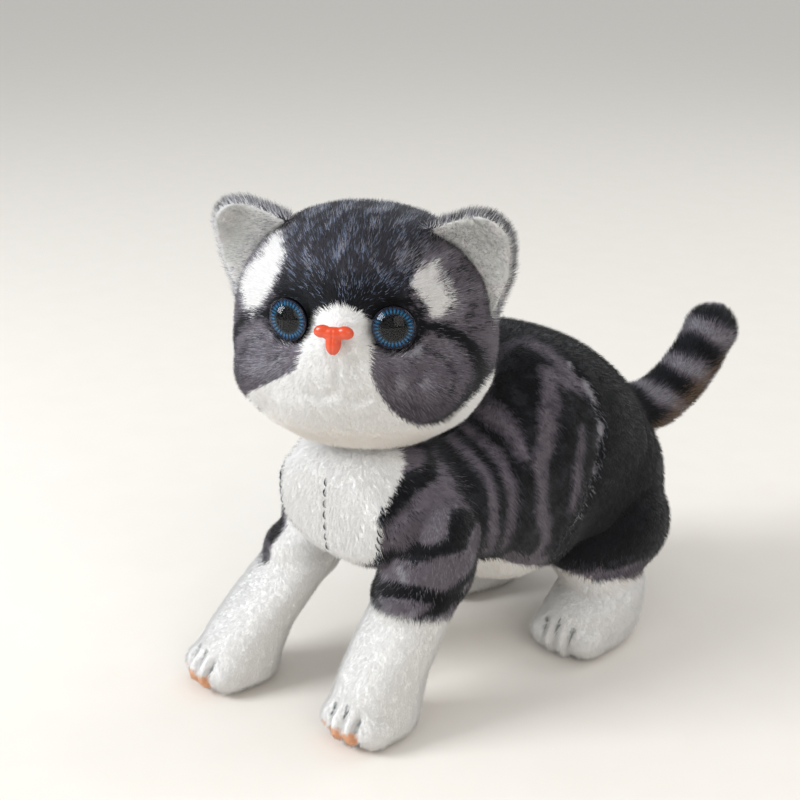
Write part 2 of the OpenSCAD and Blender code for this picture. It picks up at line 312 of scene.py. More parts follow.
@dataclass(frozen=True)
class BackingKnit:
    """Knitted backing under the pile, printed in the same colours, with painted shade that darkens it a
    little as the pile's shadow at its roots.
    """

    grain_mm: float = 0.9
    bump_mm: float = 0.35
    # depth is painted shade: the share of the print's brightness left in the pile's shadow at the roots
    depth: float = 0.95

    def build(self) -> bpy.types.Material:
        """The backing's material, which reads the print from the skin's own colour attribute."""
        made, tree, shader = new_material("plush_backing_knit", {
            "Roughness": 0.95, "Specular IOR Level": 0.1, "Sheen Weight": 0.3, "Sheen Roughness": 0.5})
        place = add_node(tree, "ShaderNodeTexCoord")
        tint = add_node(tree, "ShaderNodeAttribute", {"attribute_name": "pile_tint"})
        grain = add_node(tree, "ShaderNodeTexNoise", inputs={
            "Vector": place.outputs["Object"], "Scale": 1 / (self.grain_mm * MM), "Detail": 3.0})
        # painted shade: the print is dimmed by depth, and the knit's grain mottles it
        shade = add_node(tree, "ShaderNodeMapRange", inputs={
            "Value": grain.outputs["Fac"], "From Min": 0.3, "From Max": 0.7,
            "To Min": self.depth * 0.88, "To Max": self.depth * 1.05})
        dim = add_node(tree, "ShaderNodeVectorMath", {"operation": "SCALE"}, {
            0: tint.outputs["Color"], "Scale": shade.outputs["Result"]})
        tree.links.new(dim.outputs["Vector"], shader.inputs["Base Color"])
        bump = add_node(tree, "ShaderNodeBump", inputs={
            "Height": grain.outputs["Fac"], "Distance": self.bump_mm * MM, "Strength": 0.8})
        tree.links.new(bump.outputs["Normal"], shader.inputs["Normal"])
        return made


@dataclass(frozen=True)
class ClearDome:
    """Polished acrylic cap of a safety eye: clear, sharp reflections, barely blue."""

    def build(self) -> bpy.types.Material:
        """The dome's material."""
        return new_material("acrylic_clear_dome", {
            "Base Color": linear("#04080e"), "Roughness": 0.02, "IOR": 1.6, "Coat Weight": 1.0,
            "Coat Roughness": 0.02, "Alpha": 0.2})[0]


@dataclass(frozen=True)
class GlitterIris:
    """Glitter film behind the dome: teal-blue flakes, brightest at their centres partly by their own tone
    and partly as painted glints, dark rays round the pupil and a navy rim.
    """

    centre: Vector
    turn: Euler
    side: Side
    inner_mm: float = 4.7
    outer_mm: float = 8.0
    flake_mm: float = 0.28
    rays: int = 30
    stops: Sequence[tuple[float, str]] = (
        (0.0, "#03070c"), (0.12, "#082c44"), (0.40, "#1e92c8"), (0.60, "#126cae"), (0.80, "#071f4a"),
        (1.0, "#03081a"))

    def build(self) -> bpy.types.Material:
        """The iris's material, in polar coordinates round the eye's own axis."""
        made, tree, shader = new_material(f"glitter_film_iris_{self.side.word}", {
            "Roughness": 0.4, "Specular IOR Level": 0.2})
        place = add_node(tree, "ShaderNodeTexCoord")
        eye = add_node(tree, "ShaderNodeMapping", {"vector_type": "TEXTURE"}, {
            "Vector": place.outputs["Object"], "Location": self.centre, "Rotation": self.turn})
        split = add_node(tree, "ShaderNodeSeparateXYZ", inputs={0: eye.outputs["Vector"]})
        angle = add_node(tree, "ShaderNodeMath", {"operation": "ARCTAN2"}, {
            0: split.outputs["Y"], 1: split.outputs["X"]})
        flat = add_node(tree, "ShaderNodeCombineXYZ", inputs={
            0: split.outputs["X"], 1: split.outputs["Y"]})
        radius = add_node(tree, "ShaderNodeVectorMath", {"operation": "LENGTH"}, {
            0: flat.outputs["Vector"]})
        part = add_node(tree, "ShaderNodeMapRange", inputs={
            "Value": radius.outputs["Value"], "From Min": self.inner_mm * MM,
            "From Max": self.outer_mm * MM})
        zone = add_node(tree, "ShaderNodeValToRGB", inputs={"Fac": part.outputs["Result"]})
        bar = zone.color_ramp
        while len(bar.elements) < len(self.stops):
            bar.elements.new(0.5)
        for element, (where, colour) in zip(bar.elements, self.stops):
            element.position = where
            element.color = linear(colour)
        turns = add_node(tree, "ShaderNodeMath", {"operation": "MULTIPLY"}, {
            0: angle.outputs["Value"], 1: float(self.rays)})
        wave = add_node(tree, "ShaderNodeMath", {"operation": "SINE"}, {0: turns.outputs["Value"]})
        ray = add_node(tree, "ShaderNodeMapRange", inputs={
            "Value": wave.outputs["Value"], "From Min": -0.3, "From Max": 0.8, "To Min": 0.12,
            "To Max": 1.25})
        flakes = add_node(tree, "ShaderNodeTexVoronoi", inputs={
            "Vector": place.outputs["Object"], "Scale": 1 / (self.flake_mm * MM), "Randomness": 1.0})
        # the flakes are brightest at their centres: partly their own tone, partly painted glints
        flake_tone_and_glint = add_node(tree, "ShaderNodeMapRange", inputs={
            "Value": flakes.outputs["Distance"], "From Min": 0.0, "From Max": 0.6, "To Min": 1.5,
            "To Max": 0.55})
        # the printed rays times the flakes, painted glints included
        light = add_node(tree, "ShaderNodeMath", {"operation": "MULTIPLY"}, {
            0: ray.outputs["Result"], 1: flake_tone_and_glint.outputs["Result"]})
        mixed = add_node(tree, "ShaderNodeVectorMath", {"operation": "SCALE"}, {
            0: zone.outputs["Color"], "Scale": light.outputs["Value"]})
        tree.links.new(mixed.outputs["Vector"], shader.inputs["Base Color"])
        bump = add_node(tree, "ShaderNodeBump", inputs={
            "Height": flakes.outputs["Distance"], "Distance": 0.05 * MM, "Strength": 0.5})
        tree.links.new(bump.outputs["Normal"], shader.inputs["Normal"])
        return made


@dataclass(frozen=True)
class MouldedPlastic:
    """Injection-moulded plastic: even colour with faint flow clouding and a fine orange-peel skin."""

    name: str
    colour: str
    shade: str
    roughness: float
    coat: float = 0.0
    specular: float = 0.5
    peel: float = 0.35
    cloud_mm: float = 5.0
    peel_mm: float = 0.6

    def build(self) -> bpy.types.Material:
        """The plastic's material."""
        found = bpy.data.materials.get(self.name)
        if found:
            return found
        made, tree, shader = new_material(self.name, {
            "Roughness": self.roughness, "IOR": 1.5, "Coat Weight": self.coat, "Coat Roughness": 0.06,
            "Specular IOR Level": self.specular})
        place = add_node(tree, "ShaderNodeTexCoord")
        cloud = add_node(tree, "ShaderNodeTexNoise", inputs={
            "Vector": place.outputs["Object"], "Scale": 1 / (self.cloud_mm * MM), "Detail": 2.0})
        mixed = add_node(tree, "ShaderNodeMix", {"data_type": "RGBA"}, {
            "Factor": cloud.outputs["Fac"], 6: linear(self.colour), 7: linear(self.shade)})
        tree.links.new(mixed.outputs[2], shader.inputs["Base Color"])
        peel = add_node(tree, "ShaderNodeTexNoise", inputs={
            "Vector": place.outputs["Object"], "Scale": 1 / (self.peel_mm * MM), "Detail": 1.0})
        bump = add_node(tree, "ShaderNodeBump", inputs={
            "Height": peel.outputs["Fac"], "Distance": 0.03 * MM, "Strength": self.peel})
        tree.links.new(bump.outputs["Normal"], shader.inputs["Normal"])
        return made


@dataclass(frozen=True)
class TwistedThread:
    """Two-ply sewing thread, dark navy, with the twist showing as slanting ridges, whose colour has painted
    light on the ridges and painted shade in the grooves.
    """

    ply_mm: float = 0.55

    def build(self) -> bpy.types.Material:
        """The thread's material."""
        made, tree, shader = new_material("twisted_sewing_thread", {
            "Roughness": 0.6, "Sheen Weight": 0.3, "Specular IOR Level": 0.3})
        place = add_node(tree, "ShaderNodeTexCoord")
        twist = add_node(tree, "ShaderNodeTexWave", {"bands_direction": "DIAGONAL"}, {
            "Vector": place.outputs["Object"], "Scale": 1 / (self.ply_mm * MM) / 3.2, "Distortion": 0.6})
        # painted light and shade: the wave that raises the ridges also makes their colour lighter and the
        # grooves darker
        mixed = add_node(tree, "ShaderNodeMix", {"data_type": "RGBA"}, {
            "Factor": twist.outputs["Fac"], 6: linear("#0b0f18"), 7: linear("#2a3142")})
        tree.links.new(mixed.outputs[2], shader.inputs["Base Color"])
        bump = add_node(tree, "ShaderNodeBump", inputs={
            "Height": twist.outputs["Fac"], "Distance": 0.12 * MM, "Strength": 0.8})
        tree.links.new(bump.outputs["Normal"], shader.inputs["Normal"])
        return made


# ---------------------------------------------------------------- modelling by hand


def select_none() -> None:
    """Deselects everything."""
    bpy.ops.object.select_all(action="DESELECT")


def select_only(*objs: bpy.types.Object) -> None:
    """Deselects everything and selects these objects, the first of them active."""
    select_none()
    for obj in objs:
        obj.select_set(True)
    bpy.context.view_layer.objects.active = objs[0]


def apply_modifier(obj: bpy.types.Object, kind: str, settings: dict) -> None:
    """Adds a modifier and applies it.

    Args:
        obj: the mesh object.
        kind: the modifier's type.
        settings: the modifier's properties.
    """
    select_only(obj)
    made = obj.modifiers.new(kind.lower(), kind)
    for name, value in settings.items():
        setattr(made, name, value)
    bpy.ops.object.modifier_apply(modifier=made.name)


def apply_place(obj: bpy.types.Object) -> None:
    """Puts the object's place, turn and size into its mesh."""
    select_only(obj)
    bpy.ops.object.transform_apply(location=True, rotation=True, scale=True)


def vertex_array(obj: bpy.types.Object) -> Array:
    """The vertices of a mesh object, in metres."""
    co = np.zeros(len(obj.data.vertices) * 3, np.float32)
    obj.data.vertices.foreach_get("co", co)
    return co.reshape(-1, 3).astype(float)


def set_vertices(obj: bpy.types.Object, co: Array) -> None:
    """Moves the vertices of a mesh object."""
    obj.data.vertices.foreach_set("co", co.astype(np.float32).ravel())
    obj.data.update()


def vertex_normals(obj: bpy.types.Object) -> Array:
    """The unit normal at each vertex of a mesh object."""
    out = np.zeros(len(obj.data.vertices) * 3, np.float32)
    obj.data.vertex_normals.foreach_get("vector", out)
    return out.reshape(-1, 3).astype(float)


@dataclass(frozen=True)
class Lump:
    """A ball of stuffing in a part's own axes: an ellipsoid, in millimetres, turned about its middle."""

    centre: Point
    radii: Point
    turn: Point = (0.0, 0.0, 0.0)

    def mirrored(self) -> "Lump":
        """The same lump on the other side of the part's middle plane."""
        x, y, z = self.centre
        tx, ty, tz = self.turn
        return Lump((-x, y, z), self.radii, (tx, -ty, -tz))

    def build(self, axes: Matrix) -> bpy.types.Object:
        """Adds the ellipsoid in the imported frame."""
        select_none()
        bpy.ops.mesh.primitive_uv_sphere_add(segments=40, ring_count=24, radius=1.0)
        ball = bpy.context.object
        turn = Euler([math.radians(a) for a in self.turn])
        ball.matrix_world = (axes @ Matrix.Translation(Vector(self.centre)) @ turn.to_matrix().to_4x4()
                             @ Matrix.Diagonal((*self.radii, 1.0)))
        apply_place(ball)
        return ball


def cad_copy(name: str) -> bpy.types.Object:
    """A copy of a CAD node's mesh, merged, as a start for a modelled piece.

    Args:
        name: the CAD node's name.

    Returns:
        The copy, an object of its own.
    """
    source = frame["nodes"][name]
    made = bpy.data.objects.new(name + "_copy", source.data.copy())
    bpy.context.scene.collection.objects.link(made)
    select_only(made)
    bpy.ops.object.mode_set(mode="EDIT")
    bpy.ops.mesh.select_all(action="SELECT")
    bpy.ops.mesh.remove_doubles(threshold=1e-5)
    bpy.ops.object.mode_set(mode="OBJECT")
    return made


def keep_largest_shell(obj: bpy.types.Object) -> None:
    """Deletes every loose shell of a mesh but the outer one, which holds the highest point."""
    co = vertex_array(obj)
    select_only(obj)
    bpy.ops.object.mode_set(mode="EDIT")
    bpy.ops.mesh.select_all(action="DESELECT")
    bpy.ops.object.mode_set(mode="OBJECT")
    obj.data.vertices[int(np.argmax(co[:, 2]))].select = True
    bpy.ops.object.mode_set(mode="EDIT")
    bpy.ops.mesh.select_linked()
    bpy.ops.mesh.select_all(action="INVERT")
    bpy.ops.mesh.delete(type="VERT")
    bpy.ops.object.mode_set(mode="OBJECT")


def stuffed_form(name: str, nodes: Sequence[str], lumps: Sequence[Lump], axes: Matrix, voxel_mm: float,
                 rounds: int) -> bpy.types.Object:
    """One closed soft form out of copies of CAD nodes and balls of stuffing.

    Args:
        name: the object's name.
        nodes: CAD nodes whose outer shape the form keeps.
        lumps: ellipsoids that are merged with them.
        axes: the axes of the lumps.
        voxel_mm: the size of the remesh.
        rounds: how often the surface is smoothed.

    Returns:
        The form, a single shell.
    """
    parts = [cad_copy(n) for n in nodes] + [lump.build(axes) for lump in lumps]
    select_only(*parts)
    if len(parts) > 1:
        bpy.ops.object.join()
    form = bpy.context.view_layer.objects.active
    form.name = form.data.name = name
    form.data.materials.clear()
    apply_modifier(form, "REMESH", {"mode": "VOXEL", "voxel_size": voxel_mm * MM})
    keep_largest_shell(form)
    apply_modifier(form, "SMOOTH", {"factor": 0.5, "iterations": rounds})
    return form


def sculpt(obj: bpy.types.Object, axes: Matrix, depth: Callable[[Array], Array]) -> None:
    """Moves the surface in or out along its normals.

    Args:
        obj: the form.
        axes: the axes that depth reads.
        depth: gives millimetres outwards for points in those axes.
    """
    co = vertex_array(obj)
    out = vertex_normals(obj)
    set_vertices(obj, co + out * depth(local_points(axes, co))[:, None] * MM)


CLOTH_FRAMES = 20
CLOTH_PRESSURE = 4.0


def puff_with_cloth(obj: bpy.types.Object, held: Array, cap_mm: float) -> None:
    """Lets the stuffing press the cloth outwards between its seams.

    Args:
        obj: the form, remeshed to an even grid.
        held: one value a vertex, 1 where a seam holds the cloth and 0 where it is free.
        cap_mm: the furthest that a point may move.
    """
    before = vertex_array(obj)
    group = obj.vertex_groups.new(name="seams")
    for index in np.flatnonzero(held > 0.02):
        group.add([int(index)], float(held[index]), "REPLACE")
    cloth = obj.modifiers.new("cloth", "CLOTH")
    cloth.settings.quality = 4
    cloth.settings.mass = 0.25
    cloth.settings.tension_stiffness = 12
    cloth.settings.compression_stiffness = 12
    cloth.settings.bending_stiffness = 1.5
    cloth.settings.use_pressure = True
    cloth.settings.uniform_pressure_force = CLOTH_PRESSURE
    cloth.settings.vertex_group_mass = "seams"
    cloth.settings.effector_weights.gravity = 0.0
    cloth.collision_settings.use_collision = False
    cloth.point_cache.frame_start = 1
    cloth.point_cache.frame_end = CLOTH_FRAMES
    for number in range(1, CLOTH_FRAMES + 1):
        bpy.context.scene.frame_set(number)
    select_only(obj)
    bpy.ops.object.modifier_apply(modifier=cloth.name)
    bpy.context.scene.frame_set(1)
    move = vertex_array(obj) - before
    far = np.maximum(np.linalg.norm(move, axis=1, keepdims=True), 1e-9)
    set_vertices(obj, before + move * np.minimum(1.0, cap_mm * MM / far))
    obj.vertex_groups.clear()


# ---------------------------------------------------------------- print and pile

FLOOR_CLEAR_MM = 0.5                            # no fibre is rooted lower than this
BURIED_MM = 2.2                                 # no pile grows deeper inside another form
ROOT_SINK_MM = 0.25                             # a fibre starts this far under the backing
LENGTH_SPREAD = (0.75, 1.2)
LEAN_SPREAD = (0.78, 1.15)
WIDTH_SPREAD = (0.8, 1.2)
COMB_NOISE = 0.1
HEADING_NOISE = 0.14
SHEEN_ALONG = 0.3                               # how far a fibre's shading follows its own lie
FIBRE_FACES = np.array([0, 2, 1, 0, 1, 3, 1, 2, 3, 2, 0, 3])


class Brush:
    """Prints tones on a set of points, in layers whose soft edges are dithered from fibre to fibre."""

    def __init__(self, points: Array, rng: np.random.Generator | None) -> None:
        """Starts with bare white plush.

        Args:
            points: roots of fibres or vertices, in the millimetres of the part's axes.
            rng: source of the dither, or None for hard edges.
        """
        self.points = points
        self.rng = rng
        self.paint = np.zeros(len(points), int)

    def lay(self, tone: Tone, strength: Array | float) -> None:
        """Prints one tone where its strength beats the dither.

        Args:
            tone: the colour.
            strength: from 0, none, to 1, solid, at each point.
        """
        strength = np.broadcast_to(strength, len(self.points))
        dither = 0.5 if self.rng is None else self.rng.random(len(self.points))
        self.paint[strength > dither] = TONES.index(tone)


Print = Callable[[Brush], None]
Flow = Callable[[Array], Array]


@dataclass
class Coat:
    """A plush coat: one stuffed skin and the pile that grows on it.

    Attributes:
        name: the name of the skin's piece, and the start of its pile's names.
        body: the body that it rides on, if it blends between none.
        axes: the axes that paint, flow, length_mm and share read, in millimetres.
        paint: prints the tones.
        flow: the way in which the pile is combed.
        length_mm: the length of the pile.
        density: fibres in a square millimetre.
        slot: the material slot in the record; not used.
        replaces: CAD nodes that the skin stands for.
        fill: how firmly it is stuffed; not used.
        blend: the two bodies and the two points between which the coat would bend; when it is given, the
            pieces are tied to no body and nothing else of it is read.
        lean_deg: how far the fibres lean over.
        width_mm: the thickness of a fibre at its root.
        share: the part of the density that is kept at each point.
        seed: the start of its random draws.
        most_in_a_piece: the number of fibres above which a further mesh is made.
        pieces: the skin and its pile, once made.
    """

    name: str
    body: str
    axes: Matrix
    paint: Print
    flow: Flow
    length_mm: Callable[[Array], Array]
    density: float
    slot: str
    replaces: Sequence[str] = ()
    fill: float | None = 0.8
    blend: tuple[str, str, Vector, Vector] | None = None
    lean_deg: float = 60.0
    width_mm: float = 0.24
    share: Callable[[Array], Array] | None = None
    seed: int = 1
    most_in_a_piece: int = 49000
    pieces: list[bpy.types.Object] = field(default_factory=list)

    def dress(self, skin: bpy.types.Object, bare: Callable[[Array], Array] | None = None,
              buried_in: Sequence[bpy.types.Object] = ()) -> None:
        """Prints the skin and lays the pile on it; both are tied to the body unless the coat blends.

        Args:
            skin: the finished form.
            bare: gives True for points, in the coat's axes, where no pile grows.
            buried_in: forms that hide what lies deep inside them.
        """
        skin.name = skin.data.name = self.name
        skin.data.materials.clear()
        skin.data.materials.append(BACKING)
        select_only(skin)
        bpy.ops.object.shade_smooth()
        co = vertex_array(skin)
        hidden = self._hidden(co, buried_in)
        brush = Brush(local_points(self.axes, co), None)
        self.paint(brush)
        tints = np.array([linear(t.value) for t in TONES])[brush.paint]
        layer = skin.data.color_attributes.new("pile_tint", "FLOAT_COLOR", "POINT")
        layer.data.foreach_set("color", tints.astype(np.float32).ravel())
        self.pieces = [skin] + self._pile(skin, co, hidden, bare)
        for piece in self.pieces:
            if self.blend:
                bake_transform(piece)
            else:
                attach(piece, self.body)
        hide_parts(*self.replaces)
        LOG.info("%s: %d vertices, %d pile pieces", self.name, len(co), len(self.pieces) - 1)

    def _hidden(self, co: Array, others: Sequence[bpy.types.Object]) -> Array:
        """True for each vertex that lies deep inside another form."""
        out = np.zeros(len(co), bool)
        for other in others:
            other.data.calc_loop_triangles()
            tree = BVHTree.FromPolygons([v.co for v in other.data.vertices],
                                        [t.vertices for t in other.data.loop_triangles])
            low, high = vertex_array(other).min(0), vertex_array(other).max(0)
            near = np.flatnonzero(((co > low) & (co < high)).all(axis=1) & ~out)
            for index in near:
                where, normal, _, _ = tree.find_nearest(Vector(co[index]))
                depth = (where - Vector(co[index])).dot(normal)
                out[index] = depth > BURIED_MM * MM
        return out

    def _pile(self, skin: bpy.types.Object, co: Array, hidden: Array,
              bare: Callable[[Array], Array] | None) -> list[bpy.types.Object]:
        """Scatters the fibres over the skin and makes their meshes."""
        rng = np.random.default_rng(self.seed)
        skin.data.calc_loop_triangles()
        count = len(skin.data.loop_triangles)
        tri = np.zeros(count * 3, np.int32)
        skin.data.loop_triangles.foreach_get("vertices", tri)
        tri = tri.reshape(-1, 3)
        tri = tri[~hidden[tri].all(axis=1)]
        normal = vertex_normals(skin)
        a, b, c = co[tri[:, 0]], co[tri[:, 1]], co[tri[:, 2]]
        area = np.linalg.norm(np.cross(b - a, c - a), axis=1) / 2
        total = int(area.sum() / MM ** 2 * self.density)
        pick = np.searchsorted(np.cumsum(area) / area.sum(), rng.random(total))
        pick = np.minimum(pick, len(tri) - 1)
        u, v = rng.random(total), rng.random(total)
        over = u + v > 1
        u[over], v[over] = 1 - u[over], 1 - v[over]
        w = 1 - u - v
        corners = tri[pick]
        root = a[pick] * w[:, None] + b[pick] * u[:, None] + c[pick] * v[:, None]
        up = (normal[corners[:, 0]] * w[:, None] + normal[corners[:, 1]] * u[:, None]
              + normal[corners[:, 2]] * v[:, None])
        up /= np.maximum(np.linalg.norm(up, axis=1, keepdims=True), 1e-9)
        local = local_points(self.axes, root)
        keep = root[:, 2] > FLOOR_CLEAR_MM * MM
        if bare is not None:
            keep &= ~bare(local)
        if self.share is not None:
            keep &= rng.random(len(root)) < self.share(local)
        root, up, local = root[keep], up[keep], local[keep]
        brush = Brush(local, rng)
        self.paint(brush)
        length = self.length_mm(local) * rng.uniform(*LENGTH_SPREAD, len(root)) * MM
        comb = turned(self.axes, self.flow(local) + rng.normal(0, COMB_NOISE, (len(root), 3)))
        made = []
        chunks = max(1, math.ceil(len(root) / self.most_in_a_piece))
        for number in range(chunks):
            part = slice(number, None, chunks)
            made.append(self._fibres(f"{self.name}_pile_{number + 1}", root[part], up[part], comb[part],
                                     length[part], brush.paint[part], rng))
        return made

    def _fibres(self, name: str, root: Array, up: Array, comb: Array, length: Array, paint: Array,
                rng: np.random.Generator) -> bpy.types.Object:
        """One mesh of closed tapered fibres that lean along the combed way of the pile."""
        along = comb - up * (comb * up).sum(axis=1, keepdims=True)
        along /= np.maximum(np.linalg.norm(along, axis=1, keepdims=True), 1e-9)
        across = np.cross(up, along)
        lean = np.radians(self.lean_deg) * rng.uniform(*LEAN_SPREAD, len(root))
        spread = rng.normal(0, HEADING_NOISE, len(root))
        heading = along * np.cos(spread)[:, None] + across * np.sin(spread)[:, None]
        tip = root + (up * np.cos(lean)[:, None] + heading * np.sin(lean)[:, None]) * length[:, None]
        radius = self.width_mm * MM / 2 * rng.uniform(*WIDTH_SPREAD, len(root))
        sink = up * ROOT_SINK_MM * MM
        ring = [root - sink + (along * math.cos(t) + across * math.sin(t)) * radius[:, None]
                for t in (0.0, 2 * math.pi / 3, 4 * math.pi / 3)]
        co = np.stack([*ring, tip], axis=1).reshape(-1, 3)
        co[:, 2] = np.maximum(co[:, 2], 0.0)
        soft = up + SHEEN_ALONG * heading
        soft = np.repeat(soft / np.linalg.norm(soft, axis=1, keepdims=True), 4, axis=0)
        corners = (np.arange(len(root))[:, None] * 4 + FIBRE_FACES).ravel()
        mesh = bpy.data.meshes.new(name)
        mesh.vertices.add(len(co))
        mesh.vertices.foreach_set("co", co.astype(np.float32).ravel())
        mesh.loops.add(len(corners))
        mesh.loops.foreach_set("vertex_index", corners.astype(np.int32))
        faces = len(corners) // 3
        mesh.polygons.add(faces)
        mesh.polygons.foreach_set("loop_start", (np.arange(faces) * 3).astype(np.int32))
        used = sorted(set(paint.tolist()))
        for tone in used:
            mesh.materials.append(PlushPile().build(TONES[tone]))
        slot_of = np.zeros(len(TONES), np.int32)
        slot_of[used] = np.arange(len(used))
        mesh.polygons.foreach_set("material_index", np.repeat(slot_of[paint], 4).astype(np.int32))
        mesh.polygons.foreach_set("use_smooth", np.ones(faces, bool))
        mesh.update(calc_edges=True)
        mesh.normals_split_custom_set_from_vertices(soft.astype(np.float32))
        made = bpy.data.objects.new(name, mesh)
        bpy.context.scene.collection.objects.link(made)
        return made


# ---------------------------------------------------------------- the printed pattern

# seams and stripes of the flank as (Y, Z), and the shoulder seam of the chest as (X, Z)
HAUNCH_SEAM = ((114, 127), (120, 115), (122, 101), (119, 85), (114, 68), (109, 54), (105, 42))
SHOULDER_SEAM = ((36, 98), (33.5, 86), (33, 71), (32, 58))
CHEST_SEAM = ((0, 98), (0, 62))
FLANK_STRIPES = (
    (((112, 122), (101, 126), (94, 108), (86, 94), (89, 76), (96, 58), (92, 44)), 2.9),
    (((77, 134), (79, 116), (80, 100)), 2.0),
    (((67, 128), (71, 106), (73, 84), (72, 62)), 1.7),
    (((57, 128), (61, 109), (62, 80), (64, 62)), 2.3),
    (((110, 104), (106, 88), (108, 70)), 1.2),
    (((118, 118), (100, 142), (82, 140)), 2.2))


def seam_gap(points: Array) -> Array:
    """Distance from each point to the nearest visible body seam, on either side."""
    side = np.abs(points[:, 0])
    haunch = from_path(points[:, 1:], HAUNCH_SEAM) + 99 * (side < 22)
    shoulder = from_path(np.column_stack([side, points[:, 2]]), SHOULDER_SEAM) + 99 * (points[:, 1] > 26)
    return np.minimum(haunch, shoulder)


def print_body(b: Brush) -> None:
    """The tabby print of the body, its white chest and its cream belly."""
    x, y, z = b.points.T
    side = np.abs(x)
    wave, blot = ripple(b.points, 13, 5), ripple(b.points, 4, 6)
    b.lay(Tone.COAL, 1.0)
    b.lay(Tone.BLACK, 0.6 + 0.3 * blot)
    strayed = b.points[:, 1:] + 1.3 * np.column_stack([wave, blot])
    for path, half in FLANK_STRIPES:
        near = from_path(strayed, path)
        b.lay(Tone.PLUM, ramp(near, half + 1.4, 3.0) * 0.85 * (side > 14))
        b.lay(Tone.MAUVE, ramp(near, half - 0.2, 2.2) * (0.72 + 0.2 * blot) * (side > 14))
    spine = ramp(np.abs(side - 14 - 3 * wave), 3.0, 3) * ramp(-z, -112, 8) * ramp(np.abs(y - 88), 24, 10)
    b.lay(Tone.PLUM, spine * 0.7)
    rump = np.cos(2 * math.pi * (z + 0.3 * y + 3 * wave) / 21) * ramp(-y, -150, 20) * ramp(side, 30, 12)
    b.lay(Tone.PLUM, ramp(0.6 - rump, 0.0, 0.5) * 0.6)
    # shoulder: mauve with dark bands that climb backwards
    shoulder = ramp(y, 50, 8) * ramp(z, 118, 8)
    band = np.cos(2 * math.pi * (z - 0.42 * y + 2.6 * wave) / 22)
    b.lay(Tone.MAUVE, shoulder * (0.85 + 0.2 * blot))
    b.lay(Tone.COAL, shoulder * ramp(0.45 - band, 0.0, 0.5) * 0.9)
    b.lay(Tone.BLACK, shoulder * ramp(0.75 - band, 0.0, 0.3) * 0.8)
    # haunch: near black behind its seam, mauve along the bottom
    seam_y = np.interp(z, [p[1] for p in reversed(HAUNCH_SEAM)], [p[0] for p in reversed(HAUNCH_SEAM)])
    b.lay(Tone.BLACK, ramp(seam_y - y, 0, 1.5) * ramp(-z, -38, 6) * 0.85)
    b.lay(Tone.MAUVE, ramp(z + 1.5 * wave, 34, 6) * ramp(-y, -103, 3) * (0.85 + 0.2 * blot))
    b.lay(Tone.PLUM, ramp(z, 38, 8) * ramp(-y, -103, 3) * 0.35)
    b.lay(Tone.HAZE, ramp(seam_gap(b.points), 1.6, 2.6) * (y > 60) * ramp(-z, -60, 8)
          * (0.5 + 0.5 * ripple(b.points, 5, 7)))
    edge = np.interp(y, [45, 62, 81, 100, 118, 156], [66, 59, 49, 41, 33, 26]) + 1.2 * wave
    b.lay(Tone.MAUVE, ramp(z - edge, 7, 6) * ramp(np.abs(y - 92), 14, 6) * 0.85)
    belly = ramp(z - edge, 0, 1.8)
    b.lay(Tone.CREAM, belly)
    b.lay(Tone.WHITE, belly * 0.6)
    limit = 14 + 0.95 * np.clip(z - 90, 0, 40) + 1.6 * np.clip(67 - z, 0, 9)
    bib = ramp(y - limit, 0, 1.2) * ramp(side - 34 - 0.35 * np.clip(z - 88, 0, 30), 0, 1.5)
    b.lay(Tone.WHITE, bib)


def print_sleeve(b: Brush, side: Side) -> None:
    """A front leg: a tabby sleeve on the outside and a white paw with airbrushed toes.

    The right sleeve shows less in front than the left one, as the two panels were cut.
    """
    x, y, z = b.points.T
    x = x * side.value
    wave, blot = ripple(b.points, 10, 11), ripple(b.points, 3.5, 12)
    b.lay(Tone.WHITE, 1.0)
    if side is Side.LEFT:
        low = np.interp(y, [6, 30, 55], [54, 48, 44])
        inner = 13 + 0.42 * np.clip(z - 50, 0, 60)
    else:
        low = np.interp(y, [0, 30, 55], [51, 49, 46]) + 2.0 * wave
        inner = 34.5 - 0.5 * np.clip(y - 20, 0, 60) + 1.5 * wave
    sleeve = ramp(inner - x, 0, 2.5) * ramp(low - z, 0, 2.0)
    b.lay(Tone.MAUVE, sleeve)
    b.lay(Tone.HAZE, sleeve * (0.2 + 0.3 * blot))
    band = np.cos(2 * math.pi * (z - 0.42 * y + 2.6 * wave) / 22)
    b.lay(Tone.COAL, sleeve * ramp(0.45 - band, 0.0, 0.6) * 0.95)
    b.lay(Tone.BLACK, sleeve * ramp(0.75 - band, 0.0, 0.4) * 0.8)
    cuff = ramp(np.abs(z - low - 9 - 1.5 * wave), 3.6, 3.0)
    b.lay(Tone.BLACK, sleeve * cuff * 0.9)
    b.lay(Tone.HAZE, sleeve * ramp(z - low, 2.5, 3) * 0.6)


def print_tail(b: Brush) -> None:
    """The ringed tail with its warm underside."""
    x, y, z = b.points.T
    wave, blot = ripple(b.points, 12, 21), ripple(b.points, 4, 22)
    along = (y - 188) * 0.75 + np.clip(z - 80, 0, 60) * 0.72
    b.lay(Tone.SLATE, 1.0)
    b.lay(Tone.MAUVE, 0.3 + 0.4 * blot)
    ring = np.cos(2 * math.pi * (along - 7 + 1.5 * wave) / 19)
    b.lay(Tone.MAUVE, ramp(ring + 0.2, 0.0, 0.8) * 0.8)
    b.lay(Tone.HAZE, ramp(ring + 0.6, 0.0, 0.5) * 0.55)
    b.lay(Tone.COAL, ramp(0.1 - ring, 0.0, 0.9))
    b.lay(Tone.BLACK, ramp(0.6 - ring, 0.0, 0.5) * 0.7)
    under = (y - 188) * 0.62 - (z - 80) * 0.78
    b.lay(Tone.BROWN, ramp(-under, -9, 7) * 0.6)


